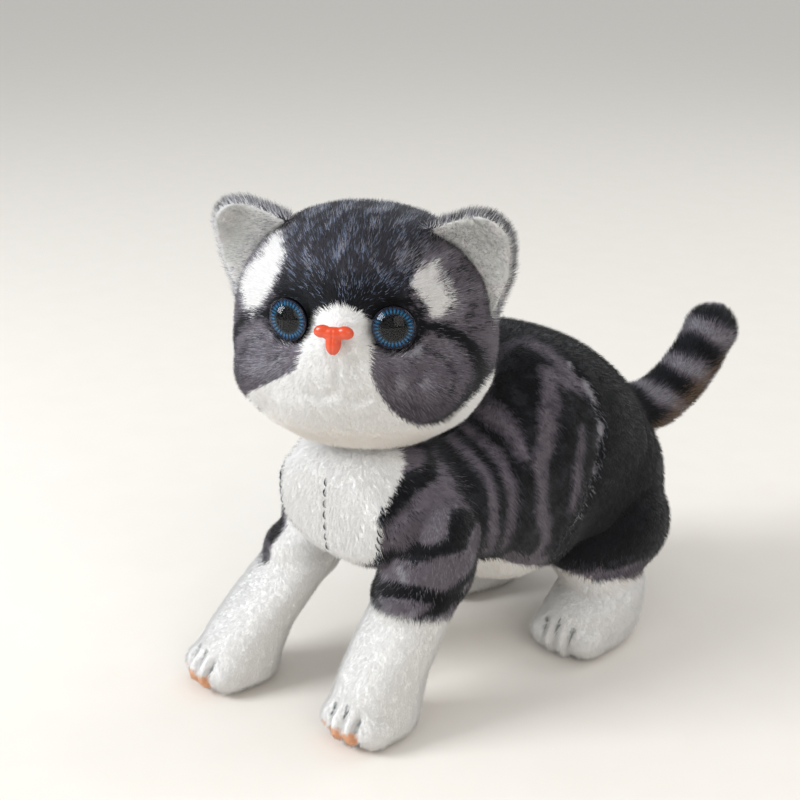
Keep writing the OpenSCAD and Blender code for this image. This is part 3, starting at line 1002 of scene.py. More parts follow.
def print_neck(b: Brush) -> None:
    """White in front, where it meets the chest, and dark at the sides and back."""
    y = b.points[:, 1]
    b.lay(Tone.COAL, 1.0)
    b.lay(Tone.BLACK, 0.4)
    b.lay(Tone.WHITE, ramp(y, 30, 4))


def print_head(b: Brush) -> None:
    """The printed face: dark crown, white brows, grey cheeks with a dark curve, white muzzle and chin."""
    x, y, z = b.points.T
    side = np.abs(x)
    flat = np.column_stack([side, z])
    wave, blot = ripple(b.points, 9, 31), ripple(b.points, 3, 32)
    fine = ripple(b.points * np.array((1.0, 0.45, 0.3)), 1.9, 33)
    front = ramp(y, 6, 8)
    b.lay(Tone.COAL, 1.0)
    b.lay(Tone.SLATE, 0.45 + 0.4 * blot)
    stripe = np.cos(2 * math.pi * (x + 2.2 * wave) / 12)
    b.lay(Tone.BLACK, ramp(0.1 - stripe, 0.0, 1.4) * 0.65)
    # grey sides of the face above the cheeks
    b.lay(Tone.MAUVE, front * ramp(-side, -25, 8) * ramp(-z, 2, 6) * (0.7 + 0.3 * blot))
    b.lay(Tone.HAZE, front * ramp(-side, -29, 8) * ramp(-z, -8, 6) * (0.1 + 0.22 * fine))
    b.lay(Tone.PLUM, ramp(-side, -30, 8) * ramp(-y, 0, 14) * 0.45)
    # streaked forehead, darkest just above the eyes
    crown = front * ramp(side, 21, 6) * ramp(-z, -11, 4)
    b.lay(Tone.COAL, crown * 0.9)
    streak = np.cos(2 * math.pi * (side + 0.25 * z + 2.4 * wave) / 9.0)
    silver = ramp(side, 26, 8) * ramp(-z, -22, 10) * ramp(y, 14, 10)
    b.lay(Tone.SLATE, silver * 0.55)
    b.lay(Tone.STEEL, silver * ramp(-streak, 0.4, 1.4) * (0.26 + 0.16 * fine))
    b.lay(Tone.HAZE, silver * ramp(-streak, -0.3, 1.0) * (0.16 + 0.16 * fine))
    b.lay(Tone.BLACK, crown * ramp(z, 23, 8) * 0.72)
    b.lay(Tone.STEEL, crown * ramp(z, 27, 6) * (0.05 + 0.08 * fine))
    # cheeks, with combed lighter streaks
    cheek = front * ramp(-side, -11, 3) * ramp(z, 3, 5)
    b.lay(Tone.MAUVE, cheek)
    b.lay(Tone.HAZE, cheek * ramp(np.hypot(side - 25, (z + 6) * 1.1), 14, 12) * (0.42 + 0.28 * fine))
    b.lay(Tone.SLATE, cheek * (0.12 + 0.2 * blot))
    b.lay(Tone.PLUM, cheek * ramp(z, -16, 8) * 0.55)
    b.lay(Tone.SLATE, cheek * ramp(z, -23, 8) * 0.4)
    # dark curve from the outer corner of the eye round the cheek
    curve = ((28, 8), (34, 7), (41, 3), (46, -4), (47.5, -13), (44, -21), (38, -26.5), (31, -30))
    b.lay(Tone.COAL, ramp(from_path(flat, curve), 2.4, 2.4) * ramp(y, 16, 8) * 0.7)
    b.lay(Tone.BLACK, ramp(from_path(flat, curve), 1.3, 1.6) * ramp(y, 16, 8) * 0.9)
    second = ((30, 0), (37, -4), (41, -10), (40, -17))
    b.lay(Tone.SLATE, ramp(from_path(flat, second), 1.2, 2.0) * front * 0.6)
    # white brows, longer on the cat's right, and the faint spots above them
    strayed = np.column_stack([x, z]) + 1.1 * np.column_stack([wave, blot])
    on_left = from_path(strayed, ((34.5, 15), (32, 19.5), (29, 24))) + 0.7
    on_right = from_path(strayed, ((-37.5, 12), (-34, 20), (-28.5, 28))) - 0.3
    brow = np.minimum(on_left, on_right)
    b.lay(Tone.HAZE, ramp(brow, 7.0, 3.4) * front * 0.5)
    b.lay(Tone.WHITE, ramp(brow, 4.6, 3.0) * ramp(y, 9, 6))
    b.lay(Tone.PEARL, ramp(brow, 5.0, 3.0) * ramp(y, 9, 6) * 0.8)
    b.lay(Tone.HAZE, ramp(np.hypot((x - 22) * 0.8, z - 30.5), 3.0, 5) * front * 0.45)
    # rim of the eyes and the pale skin outside and under them
    eye = np.hypot(side - 20, z - 7.8)
    b.lay(Tone.BLACK, ramp(np.abs(eye - 9.0), 1.1, 1.6) * front * 0.75)
    b.lay(Tone.PEARL, ramp(np.hypot((side - 21) / 2.1, z + 1.8), 1.0, 1.3) * front * 0.2)
    # muzzle, chin and throat
    rows = [-60, -34, -27, -21, -16, -9, 2, 8, 12, 14.5, 16]
    to_left = np.interp(z, rows, [60, 35, 26, 20, 15, 11.5, 12, 11, 7.5, 0, -9])
    to_right = np.interp(z, rows, [60, 42, 39, 35, 27, 15, 12, 11, 7.5, 0, -9])
    half = np.where(x > 0, to_left, to_right) + 0.9 * wave
    white = ramp(side - half, 0, 1.8) * ramp(y, 10, 6)
    jaw = ramp(z + 12 + 0.9 * (50 - side), -4, 2.5) * ramp(y, 26, 8)
    jaw = np.maximum(jaw, ramp(z, -35, 2) * ramp(y, 30, 8))
    b.lay(Tone.HAZE, ramp(side - half, 1.0, 2.5) * ramp(y, 10, 6) * ramp(-z, 12, 4) * 0.4)
    beyond = ramp(-np.hypot(x - 32, z + 12), -17.0, 2.0) * (z < -16) * (x > 24) * ramp(y, 20, 8)
    pale = np.maximum(np.maximum(white, jaw), beyond)
    b.lay(Tone.WHITE, pale)
    # painted shade: a cream tint, a little darker than the white, under the chin and down the throat
    under = ramp(z, -31, 10) * ramp(side, 34, 12) * ramp(y, 20, 10)
    b.lay(Tone.CREAM, pale * under * 0.7)
    cheek_line = ((-48, -12), (-44, -21), (-40, -27), (-34, -31))
    b.lay(Tone.SLATE, ramp(from_path(np.column_stack([x, z]), cheek_line), 1.0, 1.6) * ramp(y, 12, 8) * 0.85)


# ---------------------------------------------------------------- sub-assemblies


@dataclass
class Torso:
    """The body: one stuffed coat over the CAD's torso skin, chest and belly panels and stuffing."""

    plan: ToyPlan
    cloth_mm: float = 4.5
    puff_mm: float = 2.5
    voxel_mm: float = 2.0
    groove_mm: float = 1.3
    pile_mm: float = 3.0
    density: float = 5.2
    rump_mm: float = 4.5
    nodes: Sequence[str] = ("torso_skin", "chest_skin", "belly_skin", "torso_stuffing")

    def model(self) -> bpy.types.Object:
        """The stuffed form, with its sockets filled, its cloth puffed and its seams drawn in."""
        lumps = [Lump((0, 40, 92), (30, 28, 22)), Lump((0, 34, 99), (37, 22, 17)),
                 Lump((0, 146, 69), (43, 34, 38)), Lump((0, 104, 55), (41, 40, 28)),
                 Lump((0, 70, 66), (38, 26, 25)), Lump((0, 177, 82), (21, 13, 20))]
        for lump in (Lump((29, 39, 78), (19, 21, 23)), Lump((26, 148, 62), (22, 33, 37))):
            lumps += [lump, lump.mirrored()]
        axes = self.plan.body_matrix
        form = stuffed_form("torso_coat", self.nodes, lumps, axes, self.cloth_mm, 4)
        sculpt(form, axes, lambda p: np.full(len(p), -self.puff_mm * 0.7))
        held = ramp(seam_gap(local_points(axes, vertex_array(form))), 3.0, 3.0)
        puff_with_cloth(form, held, self.puff_mm)
        apply_modifier(form, "SUBSURF", {"levels": 1, "render_levels": 1})
        apply_modifier(form, "REMESH", {"mode": "VOXEL", "voxel_size": self.voxel_mm * MM})
        apply_modifier(form, "SMOOTH", {"factor": 0.5, "iterations": 4})
        sculpt(form, axes, lambda p: -self.groove_mm * ramp(seam_gap(p), 1.6, 3.0) - 1.0)
        sculpt(form, axes, self._sag)
        return form

    def _sag(self, p: Array) -> Array:
        """Soft folds of the flank, the groove of the chest seam and the slimmer rump."""
        x, y, z = p.T
        fold = np.cos(2 * math.pi * (y + 0.15 * z) / 24)
        fold = fold * ramp(np.abs(y - 84), 34, 18) * ramp(-np.abs(x), -20, 14)
        rump = ramp(-y, -166, 20) * ramp(-z, -66, 24)
        groove = 0.8 * ramp(from_path(xz(p), CHEST_SEAM), 1.0, 2.4) * (y < 20)
        return 0.6 * fold - groove - self.rump_mm * rump

    def length(self, p: Array) -> Array:
        """Pile trimmed along the seams and on the chest, in millimetres."""
        return self.pile_mm * (1 - 0.45 * ramp(seam_gap(p), 1.2, 1.6)) * np.where(p[:, 1] < 14, 0.8, 1)

    def flow(self, p: Array) -> Array:
        """Combed down, a little back and outwards."""
        return np.column_stack([0.15 * p[:, 0] / 30, np.full(len(p), 0.45), np.full(len(p), -1.0)])

    def share(self, p: Array) -> Array:
        """Thick pile on the white chest, and less where dark pile hides the gaps or nobody looks."""
        return np.where(p[:, 1] < 26, 1.0, 0.36)

    def build(self) -> bpy.types.Object:
        """Models and dresses the torso."""
        form = self.model()
        coat = Coat("torso_coat", "torso", self.plan.body_matrix, print_body, self.flow, self.length,
                    self.density, "charcoal_plush", self.nodes, share=self.share, seed=101)
        coat.dress(form)
        return form


@dataclass
class Neck:
    """The neck plug between the chest and the head."""

    plan: ToyPlan

    def build(self, buried_in: Sequence[bpy.types.Object]) -> bpy.types.Object:
        """Models and dresses the neck."""
        form = stuffed_form("neck_coat", ("neck_skin", "neck_stuffing"), (), self.plan.body_matrix, 2.2, 4)
        coat = Coat("neck_coat", "neck", self.plan.body_matrix, print_neck,
                    lambda p: np.tile((0.0, 0.1, -1.0), (len(p), 1)), lambda p: np.full(len(p), 3.0), 3.0,
                    "white_plush", ("neck_skin", "neck_stuffing"), seed=111)
        coat.dress(form, buried_in=buried_in)
        return form


@dataclass
class Head:
    """The stuffed head with its muzzle, cheeks, chin and eye sockets."""

    plan: ToyPlan
    voxel_mm: float = 1.7
    eye: Point = (19.5, -29.5, 7.8)
    pile_mm: float = 2.5
    density: float = 5.6

    def model(self) -> bpy.types.Object:
        """The head's form."""
        lumps = [Lump((0, -22, 0), (15.5, 15.5, 12.5)), Lump((0, -20, -19), (23, 18, 16)),
                 Lump((0, 0, -8), (38, 32, 32))]
        for lump in (Lump((8, -24, -7), (10, 12, 9)), Lump((27, -13, -16), (21, 22, 19))):
            lumps += [lump, lump.mirrored()]
        form = stuffed_form("head_coat", ("head_skin", "head_stuffing"), lumps, self.plan.head_matrix,
                            self.voxel_mm, 8)
        sculpt(form, self.plan.head_matrix, self._features)
        return form

    def _features(self, p: Array) -> Array:
        """Eye sockets, the dip over the nose, the groove under it and the seam round the face."""
        folded = p.copy()
        folded[:, 0] = np.abs(folded[:, 0])
        socket = ramp(np.linalg.norm(folded - np.array(self.eye), axis=1), 8.5, 6)
        x, y, z = p.T
        groove = ramp(np.hypot(x, (z + 8) / 5), 1.2, 2.2) * ramp(y, -25, 6)
        mouth = ramp(from_path(xz(folded), ((0, -15), (6, -18), (12, -16.5))), 1.2, 2.4) * ramp(y, -18, 6)
        return -1.7 - 2.2 * socket - 0.9 * groove - 0.7 * mouth

    def length(self, p: Array) -> Array:
        """Pile length: shorter on the face and round the eyes."""
        folded = p.copy()
        folded[:, 0] = np.abs(folded[:, 0])
        near_eye = ramp(np.linalg.norm(folded - np.array(self.eye), axis=1), 9.5, 4)
        return self.pile_mm * (1 - 0.45 * near_eye) * np.where(p[:, 1] > 0, 1.15, 1.0)

    def flow(self, p: Array) -> Array:
        """Combed outwards from the nose over the face, and back and down behind it."""
        away = p - np.array((0, -38, 6))
        away /= np.linalg.norm(away, axis=1, keepdims=True)
        return away + np.array((0, 0.35, -0.15))

    def bare(self, p: Array) -> Array:
        """No pile grows under the eyes and the nose."""
        folded = p.copy()
        folded[:, 0] = np.abs(folded[:, 0])
        return (np.linalg.norm(folded - np.array(self.eye), axis=1) < 7.4) | (
            np.linalg.norm((p - np.array((0, -38.3, 5))) * np.array((0.75, 1, 1)), axis=1) < 3.6)

    def build(self) -> bpy.types.Object:
        """Models and dresses the head."""
        form = self.model()
        coat = Coat("head_coat", "head", self.plan.head_matrix, print_head, self.flow, self.length,
                    self.density, "charcoal_plush", ("head_skin", "head_stuffing"), width_mm=0.22,
                    share=lambda p: np.where(p[:, 1] > 6, 0.36, 1.0), seed=121)
        coat.dress(form, bare=self.bare)
        return form


@dataclass
class Ear:
    """A cupped ear: velvet inside, long fuzz outside."""

    plan: ToyPlan
    side: Side
    tilt_deg: float = 60.0
    toe_deg: float = 5.0
    base: Point = (40.0, -1.0, 20.0)
    widen: float = 1.14
    root_mm: float = 14.0
    root_stretch: float = 0.9

    @property
    def axes(self) -> Matrix:
        """The ear's own axes: X across, Z up the ear and Y through it, from the front to the back."""
        mirror = Matrix.Diagonal((self.side.value, 1, 1, 1))
        return (self.plan.head_matrix @ mirror @ Matrix.Translation(Vector(self.base))
                @ Matrix.Rotation(math.radians(self.tilt_deg), 4, "Y")
                @ Matrix.Rotation(math.radians(self.toe_deg), 4, "Z"))

    def cup(self, p: Array) -> Array:
        """How far the leaf is cupped forwards at points of its own axes, in millimetres."""
        return 0.016 * (p[:, 0] + 1) ** 2 + 0.02 * np.clip(p[:, 2] - 4, 0, 30) ** 2 - 2.4

    def model(self) -> bpy.types.Object:
        """One padded leaf, cupped forwards at its rim."""
        word = self.side.word
        form = stuffed_form(f"ear_coat_{word}", (f"ear_outer_{word}", f"ear_inner_{word}"), (),
                            self.axes, 1.0, 10)
        co = vertex_array(form)
        p = local_points(self.axes, co)
        cup = self.cup(p)
        p[:, 0] = (p[:, 0] + 1) * self.widen - 1
        p[:, 2] -= self.root_stretch * np.clip(self.root_mm - p[:, 2], 0, None)
        p[:, 1] -= cup
        set_vertices(form, turn_points(self.axes, p))
        return form

    def paint(self, b: Brush) -> None:
        """Pale grey velvet in the cup, and grey fuzz with a dark edge on the back."""
        y, z = b.points[:, 1], b.points[:, 2]
        depth = y + self.cup(b.points)
        blot = ripple(b.points, 4, 41)
        b.lay(Tone.HAZE, 1.0)
        b.lay(Tone.SLATE, 0.38 + 0.4 * blot)
        b.lay(Tone.SILVER, 0.3)
        inside = ramp(depth, -0.9, 0.8)
        b.lay(Tone.EAR, inside)
        b.lay(Tone.PEARL, inside * (0.35 + 0.3 * blot))
        b.lay(Tone.SILVER, inside * (0.2 + 0.2 * ripple(b.points, 6, 42)))
        b.lay(Tone.HAZE, inside * ramp(z, 9, 10) * 0.4)

    def build(self) -> bpy.types.Object:
        """Models and dresses the ear."""
        form = self.model()
        word = self.side.word
        coat = Coat(f"ear_coat_{word}", f"ear_{word}", self.axes, self.paint,
                    lambda p: np.column_stack([p[:, 0] * 0.03, 0.1 * np.ones(len(p)), np.ones(len(p))]),
                    self.length, 5.0, "ear_velvet", (f"ear_outer_{word}", f"ear_inner_{word}"), fill=0.2,
                    seed=131 + self.side.value, lean_deg=48.0, width_mm=0.26)
        coat.dress(form)
        return form

    def length(self, p: Array) -> Array:
        """Short velvet inside, and fuzz outside and at the rim."""
        return np.where(p[:, 1] + self.cup(p) < -0.9, 2.0, 4.2)


@dataclass
class FrontLeg:
    """A front leg: sleeve, paw and four toes in one stuffed coat, which is tied to no body."""

    plan: ToyPlan
    side: Side
    paw: Point
    toe_turn_deg: float
    voxel_mm: float = 1.6
    pile_mm: float = 2.3
    density: float = 5.6

    @property
    def paw_axes(self) -> Matrix:
        """The paw's axes: -Y towards the toes, on the ground."""
        return (self.plan.body_matrix @ Matrix.Translation(Vector(self.paw))
                @ Matrix.Rotation(math.radians(self.toe_turn_deg), 4, "Z"))

    def model(self) -> bpy.types.Object:
        """The leg's form, with its toes."""
        word = self.side.word
        nodes = (f"front_sleeve_{word}", f"front_paw_{word}", f"front_leg_stuffing_{word}")
        lumps = [Lump((31, 37, 66), (19.5, 20.5, 24)), Lump((31.5, 31, 54), (17.5, 18.5, 14))]
        if self.side is Side.RIGHT:
            lumps = [Lump((-31, 37, 66), (18.5, 20, 23)), Lump((-34, 26, 50), (16.5, 17.5, 15))]
        lumps += toe_lumps(self.plan, self.paw_axes, 13.5, 12.0, 8.4)
        form = stuffed_form(f"front_leg_coat_{word}", nodes, lumps, self.plan.body_matrix, self.voxel_mm, 5)
        sculpt(form, self.paw_axes, lambda p: -1.2 - toe_grooves(p, 6.0, 17.0))
        return form

    def paint(self, b: Brush) -> None:
        """Sleeve print, then toes."""
        print_sleeve(b, self.side)
        print_toes(b, local_points(self.paw_axes, turn_points(self.plan.body_matrix, b.points)), 20.0)

    def length(self, p: Array) -> Array:
        """Pile length: short on the toe pads."""
        local = local_points(self.paw_axes, turn_points(self.plan.body_matrix, p))
        return self.pile_mm * (1 - 0.55 * pad_strength(local, 20.0))

    def build(self, buried_in: Sequence[bpy.types.Object]) -> bpy.types.Object:
        """Models and dresses the leg."""
        form = self.model()
        word = self.side.word
        top, low = self.plan.at(0, 40, 95), self.plan.at(0, 40, 60)
        coat = Coat(f"front_leg_coat_{word}", f"front_leg_{word}", self.plan.body_matrix, self.paint,
                    lambda p: np.tile((0.0, -0.25, -1.0), (len(p), 1)), self.length, self.density,
                    "grey_plush",
                    (f"front_sleeve_{word}", f"front_paw_{word}", f"front_leg_stuffing_{word}"),
                    blend=("torso", f"front_leg_{word}", top, low), width_mm=0.2,
                    share=lambda p: np.where(p[:, 2] > 58, 0.6, 1.0), seed=141 + self.side.value)
        coat.dress(form, buried_in=buried_in)
        return form


def turn_points(axes: Matrix, points: Array) -> Array:
    """Points in a part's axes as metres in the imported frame."""
    m = np.array(axes)
    return points @ m[:3, :3].T + m[:3, 3]


TOE_ROW = (-1.5, -0.5, 0.5, 1.5)
TOE_GAPS = (-6.6, 0.0, 6.6)


def toe_lumps(plan: ToyPlan, axes: Matrix, half: float, ahead: float, radius: float) -> list[Lump]:
    """Four toes in a shallow arc at the front of a paw, in the axes of the plan.

    Args:
        plan: the toy's plan.
        axes: the paw's axes.
        half: half the width of the row.
        ahead: distance of the middle toes ahead of the paw's middle.
        radius: the radius of a toe.

    Returns:
        One lump for each toe.
    """
    made = []
    for step in TOE_ROW:
        where = np.array([[step * half / 2.1, -ahead + 1.7 * step ** 2, radius * 0.98]])
        x, y, z = local_points(plan.body_matrix, turn_points(axes, where))[0]
        made.append(Lump((x, y, z), (radius * 0.82, radius * 1.25, radius)))
    return made


def toe_grooves(p: Array, reach: float, height: float) -> Array:
    """Depth of the grooves between the toes, in millimetres, in a paw's axes."""
    x, y, z = p.T
    ahead = ramp(y, -reach, 5) * ramp(z, height, 6)
    return 2.9 * ahead * sum(ramp(np.abs(x - gap), 0.9, 2.2) for gap in TOE_GAPS)


def pad_strength(p: Array, ahead: float) -> Array:
    """Where the printed toe pads lie, low on the front of the two middle toes, in a paw's axes."""
    x, y, z = p.T
    middle = ramp(np.hypot((np.abs(x) - 3.6) / 1.0, z - 6.0), 3.7, 1.2)
    outer = ramp(np.hypot((np.abs(x) - 10.4) / 1.0, z - 5.6), 3.0, 1.2) * (x < 4)
    return np.maximum(middle, outer) * ramp(y, -ahead + 11, 4)


def print_toes(b: Brush, p: Array, ahead: float, pads: bool = True) -> None:
    """Peach toe pads and the airbrushed lines between the toes.

    Args:
        b: the brush.
        p: the same points in the paw's axes.
        ahead: how far the toes reach ahead of the paw's middle.
        pads: whether the pads are printed.
    """
    x, y, z = p.T
    if pads:
        b.lay(Tone.PEACH, pad_strength(p, ahead))
    for gap, height in zip(TOE_GAPS, (14.0, 15.5, 13.0)):
        line = ramp(np.hypot((x - gap) * 1.8, (z - height) / 2.2), 1.3, 1.2) * ramp(y, -ahead + 15, 5)
        b.lay(Tone.TOE_LINE, line * 0.75)


@dataclass
class HindLeg:
    """A hind leg: round haunch and long paw, in one coat, which is tied to no body."""

    plan: ToyPlan
    side: Side
    voxel_mm: float = 2.0
    pile_mm: float = 2.7
    density: float = 5.0
    paw: Point = (36.2, 129.2, 0.0)
    toe_turn_deg: float = 8.0

    @property
    def paw_axes(self) -> Matrix:
        """The paw's axes: -Y towards the toes, on the ground."""
        x, y, z = self.paw
        return (self.plan.body_matrix @ Matrix.Translation(Vector((x * self.side.value, y, z)))
                @ Matrix.Rotation(math.radians(self.toe_turn_deg * self.side.value), 4, "Z"))

    def model(self) -> bpy.types.Object:
        """The haunch and paw."""
        word = self.side.word
        lumps = [Lump((22, 150, 62), (23.5, 32, 38)), Lump((27, 146, 39), (21.5, 31, 20))]
        if self.side is Side.RIGHT:
            lumps = [lump.mirrored() for lump in lumps]
        lumps += toe_lumps(self.plan, self.paw_axes, 15.0, 20.0, 8.2)
        form = stuffed_form(f"hind_leg_coat_{word}",
                            (f"haunch_skin_{word}", f"hind_paw_{word}", f"hind_leg_stuffing_{word}"),
                            lumps, self.plan.body_matrix, self.voxel_mm, 8)
        sculpt(form, self.paw_axes, lambda p: -1.2 - toe_grooves(p, 18.0, 16.0))
        sculpt(form, self.plan.body_matrix, self._sock_seam)
        return form

    def _sock_seam(self, p: Array) -> Array:
        """The tuck where the white sock is sewn to the haunch."""
        return -0.9 * ramp(np.abs(p[:, 2] - 27), 1.0, 2.4) * ramp(-p[:, 1], -112, 8)

    def paint(self, b: Brush) -> None:
        """Body print, white sock and toes."""
        print_body(b)
        z = b.points[:, 2]
        sock = ramp(z - 0.05 * (b.points[:, 1] - 140), 26, 1.5)
        b.lay(Tone.WHITE, sock)
        b.lay(Tone.PEARL, sock * 0.12)
        on_paw = local_points(self.paw_axes, turn_points(self.plan.body_matrix, b.points))
        print_toes(b, on_paw, 28.0, pads=False)

    def build(self, buried_in: Sequence[bpy.types.Object]) -> bpy.types.Object:
        """Models and dresses the leg."""
        form = self.model()
        word = self.side.word
        coat = Coat(f"hind_leg_coat_{word}", f"hind_leg_{word}", self.plan.body_matrix, self.paint,
                    lambda p: np.tile((0.0, 0.1, -1.0), (len(p), 1)),
                    lambda p: np.full(len(p), self.pile_mm), self.density, "charcoal_plush",
                    (f"haunch_skin_{word}", f"hind_paw_{word}", f"hind_leg_stuffing_{word}"),
                    blend=("torso", f"hind_leg_{word}", self.plan.at(0, 150, 92), self.plan.at(0, 150, 48)),
                    width_mm=0.22, share=lambda p: np.where(p[:, 2] > 32, 0.42, 1.0),
                    seed=151 + self.side.value)
        coat.dress(form, buried_in=buried_in)
        return form


@dataclass
class Tail:
    """The stuffed tail, swept up at its tip."""

    plan: ToyPlan
    density: float = 4.0
    pile_mm: float = 3.4

    def build(self, buried_in: Sequence[bpy.types.Object]) -> bpy.types.Object:
        """Models and dresses the tail."""
        form = stuffed_form("tail_coat", ("tail_skin", "tail_stuffing"), (), self.plan.body_matrix, 1.6, 10)
        sculpt(form, self.plan.body_matrix, lambda p: -1.0 - 2.0 * ramp(p[:, 1], 194, 10))
        coat = Coat("tail_coat", "tail", self.plan.body_matrix, print_tail,
                    lambda p: np.column_stack([np.full(len(p), 0.1), np.full(len(p), 0.8),
                                               np.clip((p[:, 1] - 200) / 20, -0.1, 1.4)]),
                    lambda p: np.full(len(p), self.pile_mm), self.density, "charcoal_plush",
                    ("tail_skin", "tail_stuffing"),
                    blend=("torso", "tail", self.plan.at(0, 184, 82), self.plan.at(0, 198, 82)), seed=161,
                    lean_deg=50.0)
        coat.dress(form, buried_in=buried_in)
        return form


@dataclass
class Eyes:
    """The domed safety eyes: CAD pieces with their finishes."""

    plan: ToyPlan
    place: Point = (19.5, -29.5, 7.8)
    turn_deg: float = 14.0
    radius_mm: float = 8.0
    height_mm: float = 4.6
    base_mm: float = 1.66

    def axes(self, side: Side) -> Matrix:
        """The eye's axes, with Z along its post and outwards."""
        mirror = Matrix.Diagonal((side.value, 1, 1, 1))
        return (self.plan.head_matrix @ mirror @ Matrix.Translation(Vector(self.place))
                @ Matrix.Rotation(math.radians(self.turn_deg), 4, "Z")
                @ Matrix.Rotation(math.radians(90), 4, "X"))

    def _dome(self, side: Side) -> bpy.types.Object:
        """A clear cap, cut from a ball, that stands a hair above the iris."""
        ball = (self.radius_mm ** 2 + self.height_mm ** 2) / (2 * self.height_mm)
        middle = self.base_mm + self.height_mm - ball
        select_none()
        bpy.ops.mesh.primitive_uv_sphere_add(segments=96, ring_count=96, radius=ball,
                                             location=(0, 0, middle))
        cap = bpy.context.object
        cap.name = cap.data.name = f"clear_dome_{side.word}"
        apply_place(cap)
        bpy.ops.object.mode_set(mode="EDIT")
        bpy.ops.mesh.select_all(action="SELECT")
        bpy.ops.mesh.bisect(plane_co=(0, 0, self.base_mm), plane_no=(0, 0, 1), use_fill=True,
                            clear_inner=True)
        bpy.ops.object.mode_set(mode="OBJECT")
        axes = self.axes(side)
        cap.data.transform(axes)
        if side is Side.RIGHT:
            cap.data.flip_normals()
        select_only(cap)
        bpy.ops.object.shade_smooth_by_angle(angle=math.radians(40))
        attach(cap, "head")
        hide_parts(f"eye_dome_{side.word}")
        return cap

    def build(self) -> None:
        """Dresses both eyes."""
        dome, black = ClearDome().build(), MouldedPlastic(
            "polished_black_acrylic", "#020203", "#040405", 0.4, specular=0.0, peel=0.0)
        white = MouldedPlastic("moulded_white_polypropylene", "#ecebe6", "#dedcd4", 0.45)
        for side in Side:
            axes = self.axes(side)
            turn = axes.to_3x3().normalized()
            if side is Side.RIGHT:
                turn = turn @ Matrix.Diagonal((-1, 1, 1))
            iris = GlitterIris(axes.to_translation(), turn.to_euler(), side).build()
            word = side.word
            cap = self._dome(side)
            cap.data.materials.append(dome)
            cap.visible_shadow = False
            finishes = {f"eye_iris_{word}": iris, f"eye_pupil_{word}": black.build(),
                        f"eye_post_{word}": black.build(), f"eye_washer_{word}": white.build()}
            for name, finish in finishes.items():
                give_finish(name, finish)
        give_finish("nose_washer", white.build())
        LOG.info("eyes: domes, irises, pupils, posts and washers dressed")


def give_finish(node: str, finish: bpy.types.Material) -> None:
    """Puts a finish on a CAD node through its material slots."""
    obj = frame["nodes"][node]
    if not obj.material_slots:
        obj.data.materials.append(finish)
    for slot in obj.material_slots:
        slot.link = "OBJECT"
        slot.material = finish


@dataclass
class Nose:
    """The moulded nose: two lobes and a short stem with a crease down the middle."""

    plan: ToyPlan
    place: Point = (0.0, -38.3, 5.0)
    tilt_deg: float = -12.0

    @property
    def axes(self) -> Matrix:
        """The nose's axes, with Z outwards and Y up the face."""
        return (self.plan.head_matrix @ Matrix.Translation(Vector(self.place))
                @ Matrix.Rotation(math.radians(self.tilt_deg), 4, "X")
                @ Matrix.Rotation(math.radians(90), 4, "X"))

    def build(self) -> bpy.types.Object:
        """Models and dresses the nose."""
        lumps = [Lump((0, 1.3, 0.5), (5.6, 2.5, 2.2)), Lump((0, -2.2, 0.4), (2.9, 4.3, 2.2)),
                 Lump((0, 0, -5.5), (2.2, 2.2, 6.5))]
        lobe = Lump((4.3, 1.9, 0.5), (3.2, 2.4, 2.1), (0, 0, -10))
        lumps += [lobe, lobe.mirrored()]
        form = stuffed_form("nose_moulding", (), lumps, self.axes, 0.35, 6)
        sculpt(form, self.axes, lambda p: -0.35 * ramp(np.abs(p[:, 0]), 0.25, 0.9)
               * ramp(-p[:, 2], -0.6, 1.2) * ramp(p[:, 1], 2.4, 2.0))
        coral = MouldedPlastic("glossy_coral_pvc", "#d9532f", "#cb4524", 0.3, 0.3)
        form.data.materials.append(coral.build())
        select_only(form)
        bpy.ops.object.shade_smooth()
        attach(form, "head")
        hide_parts("nose")
        LOG.info("nose: %d faces", len(form.data.polygons))
        return form


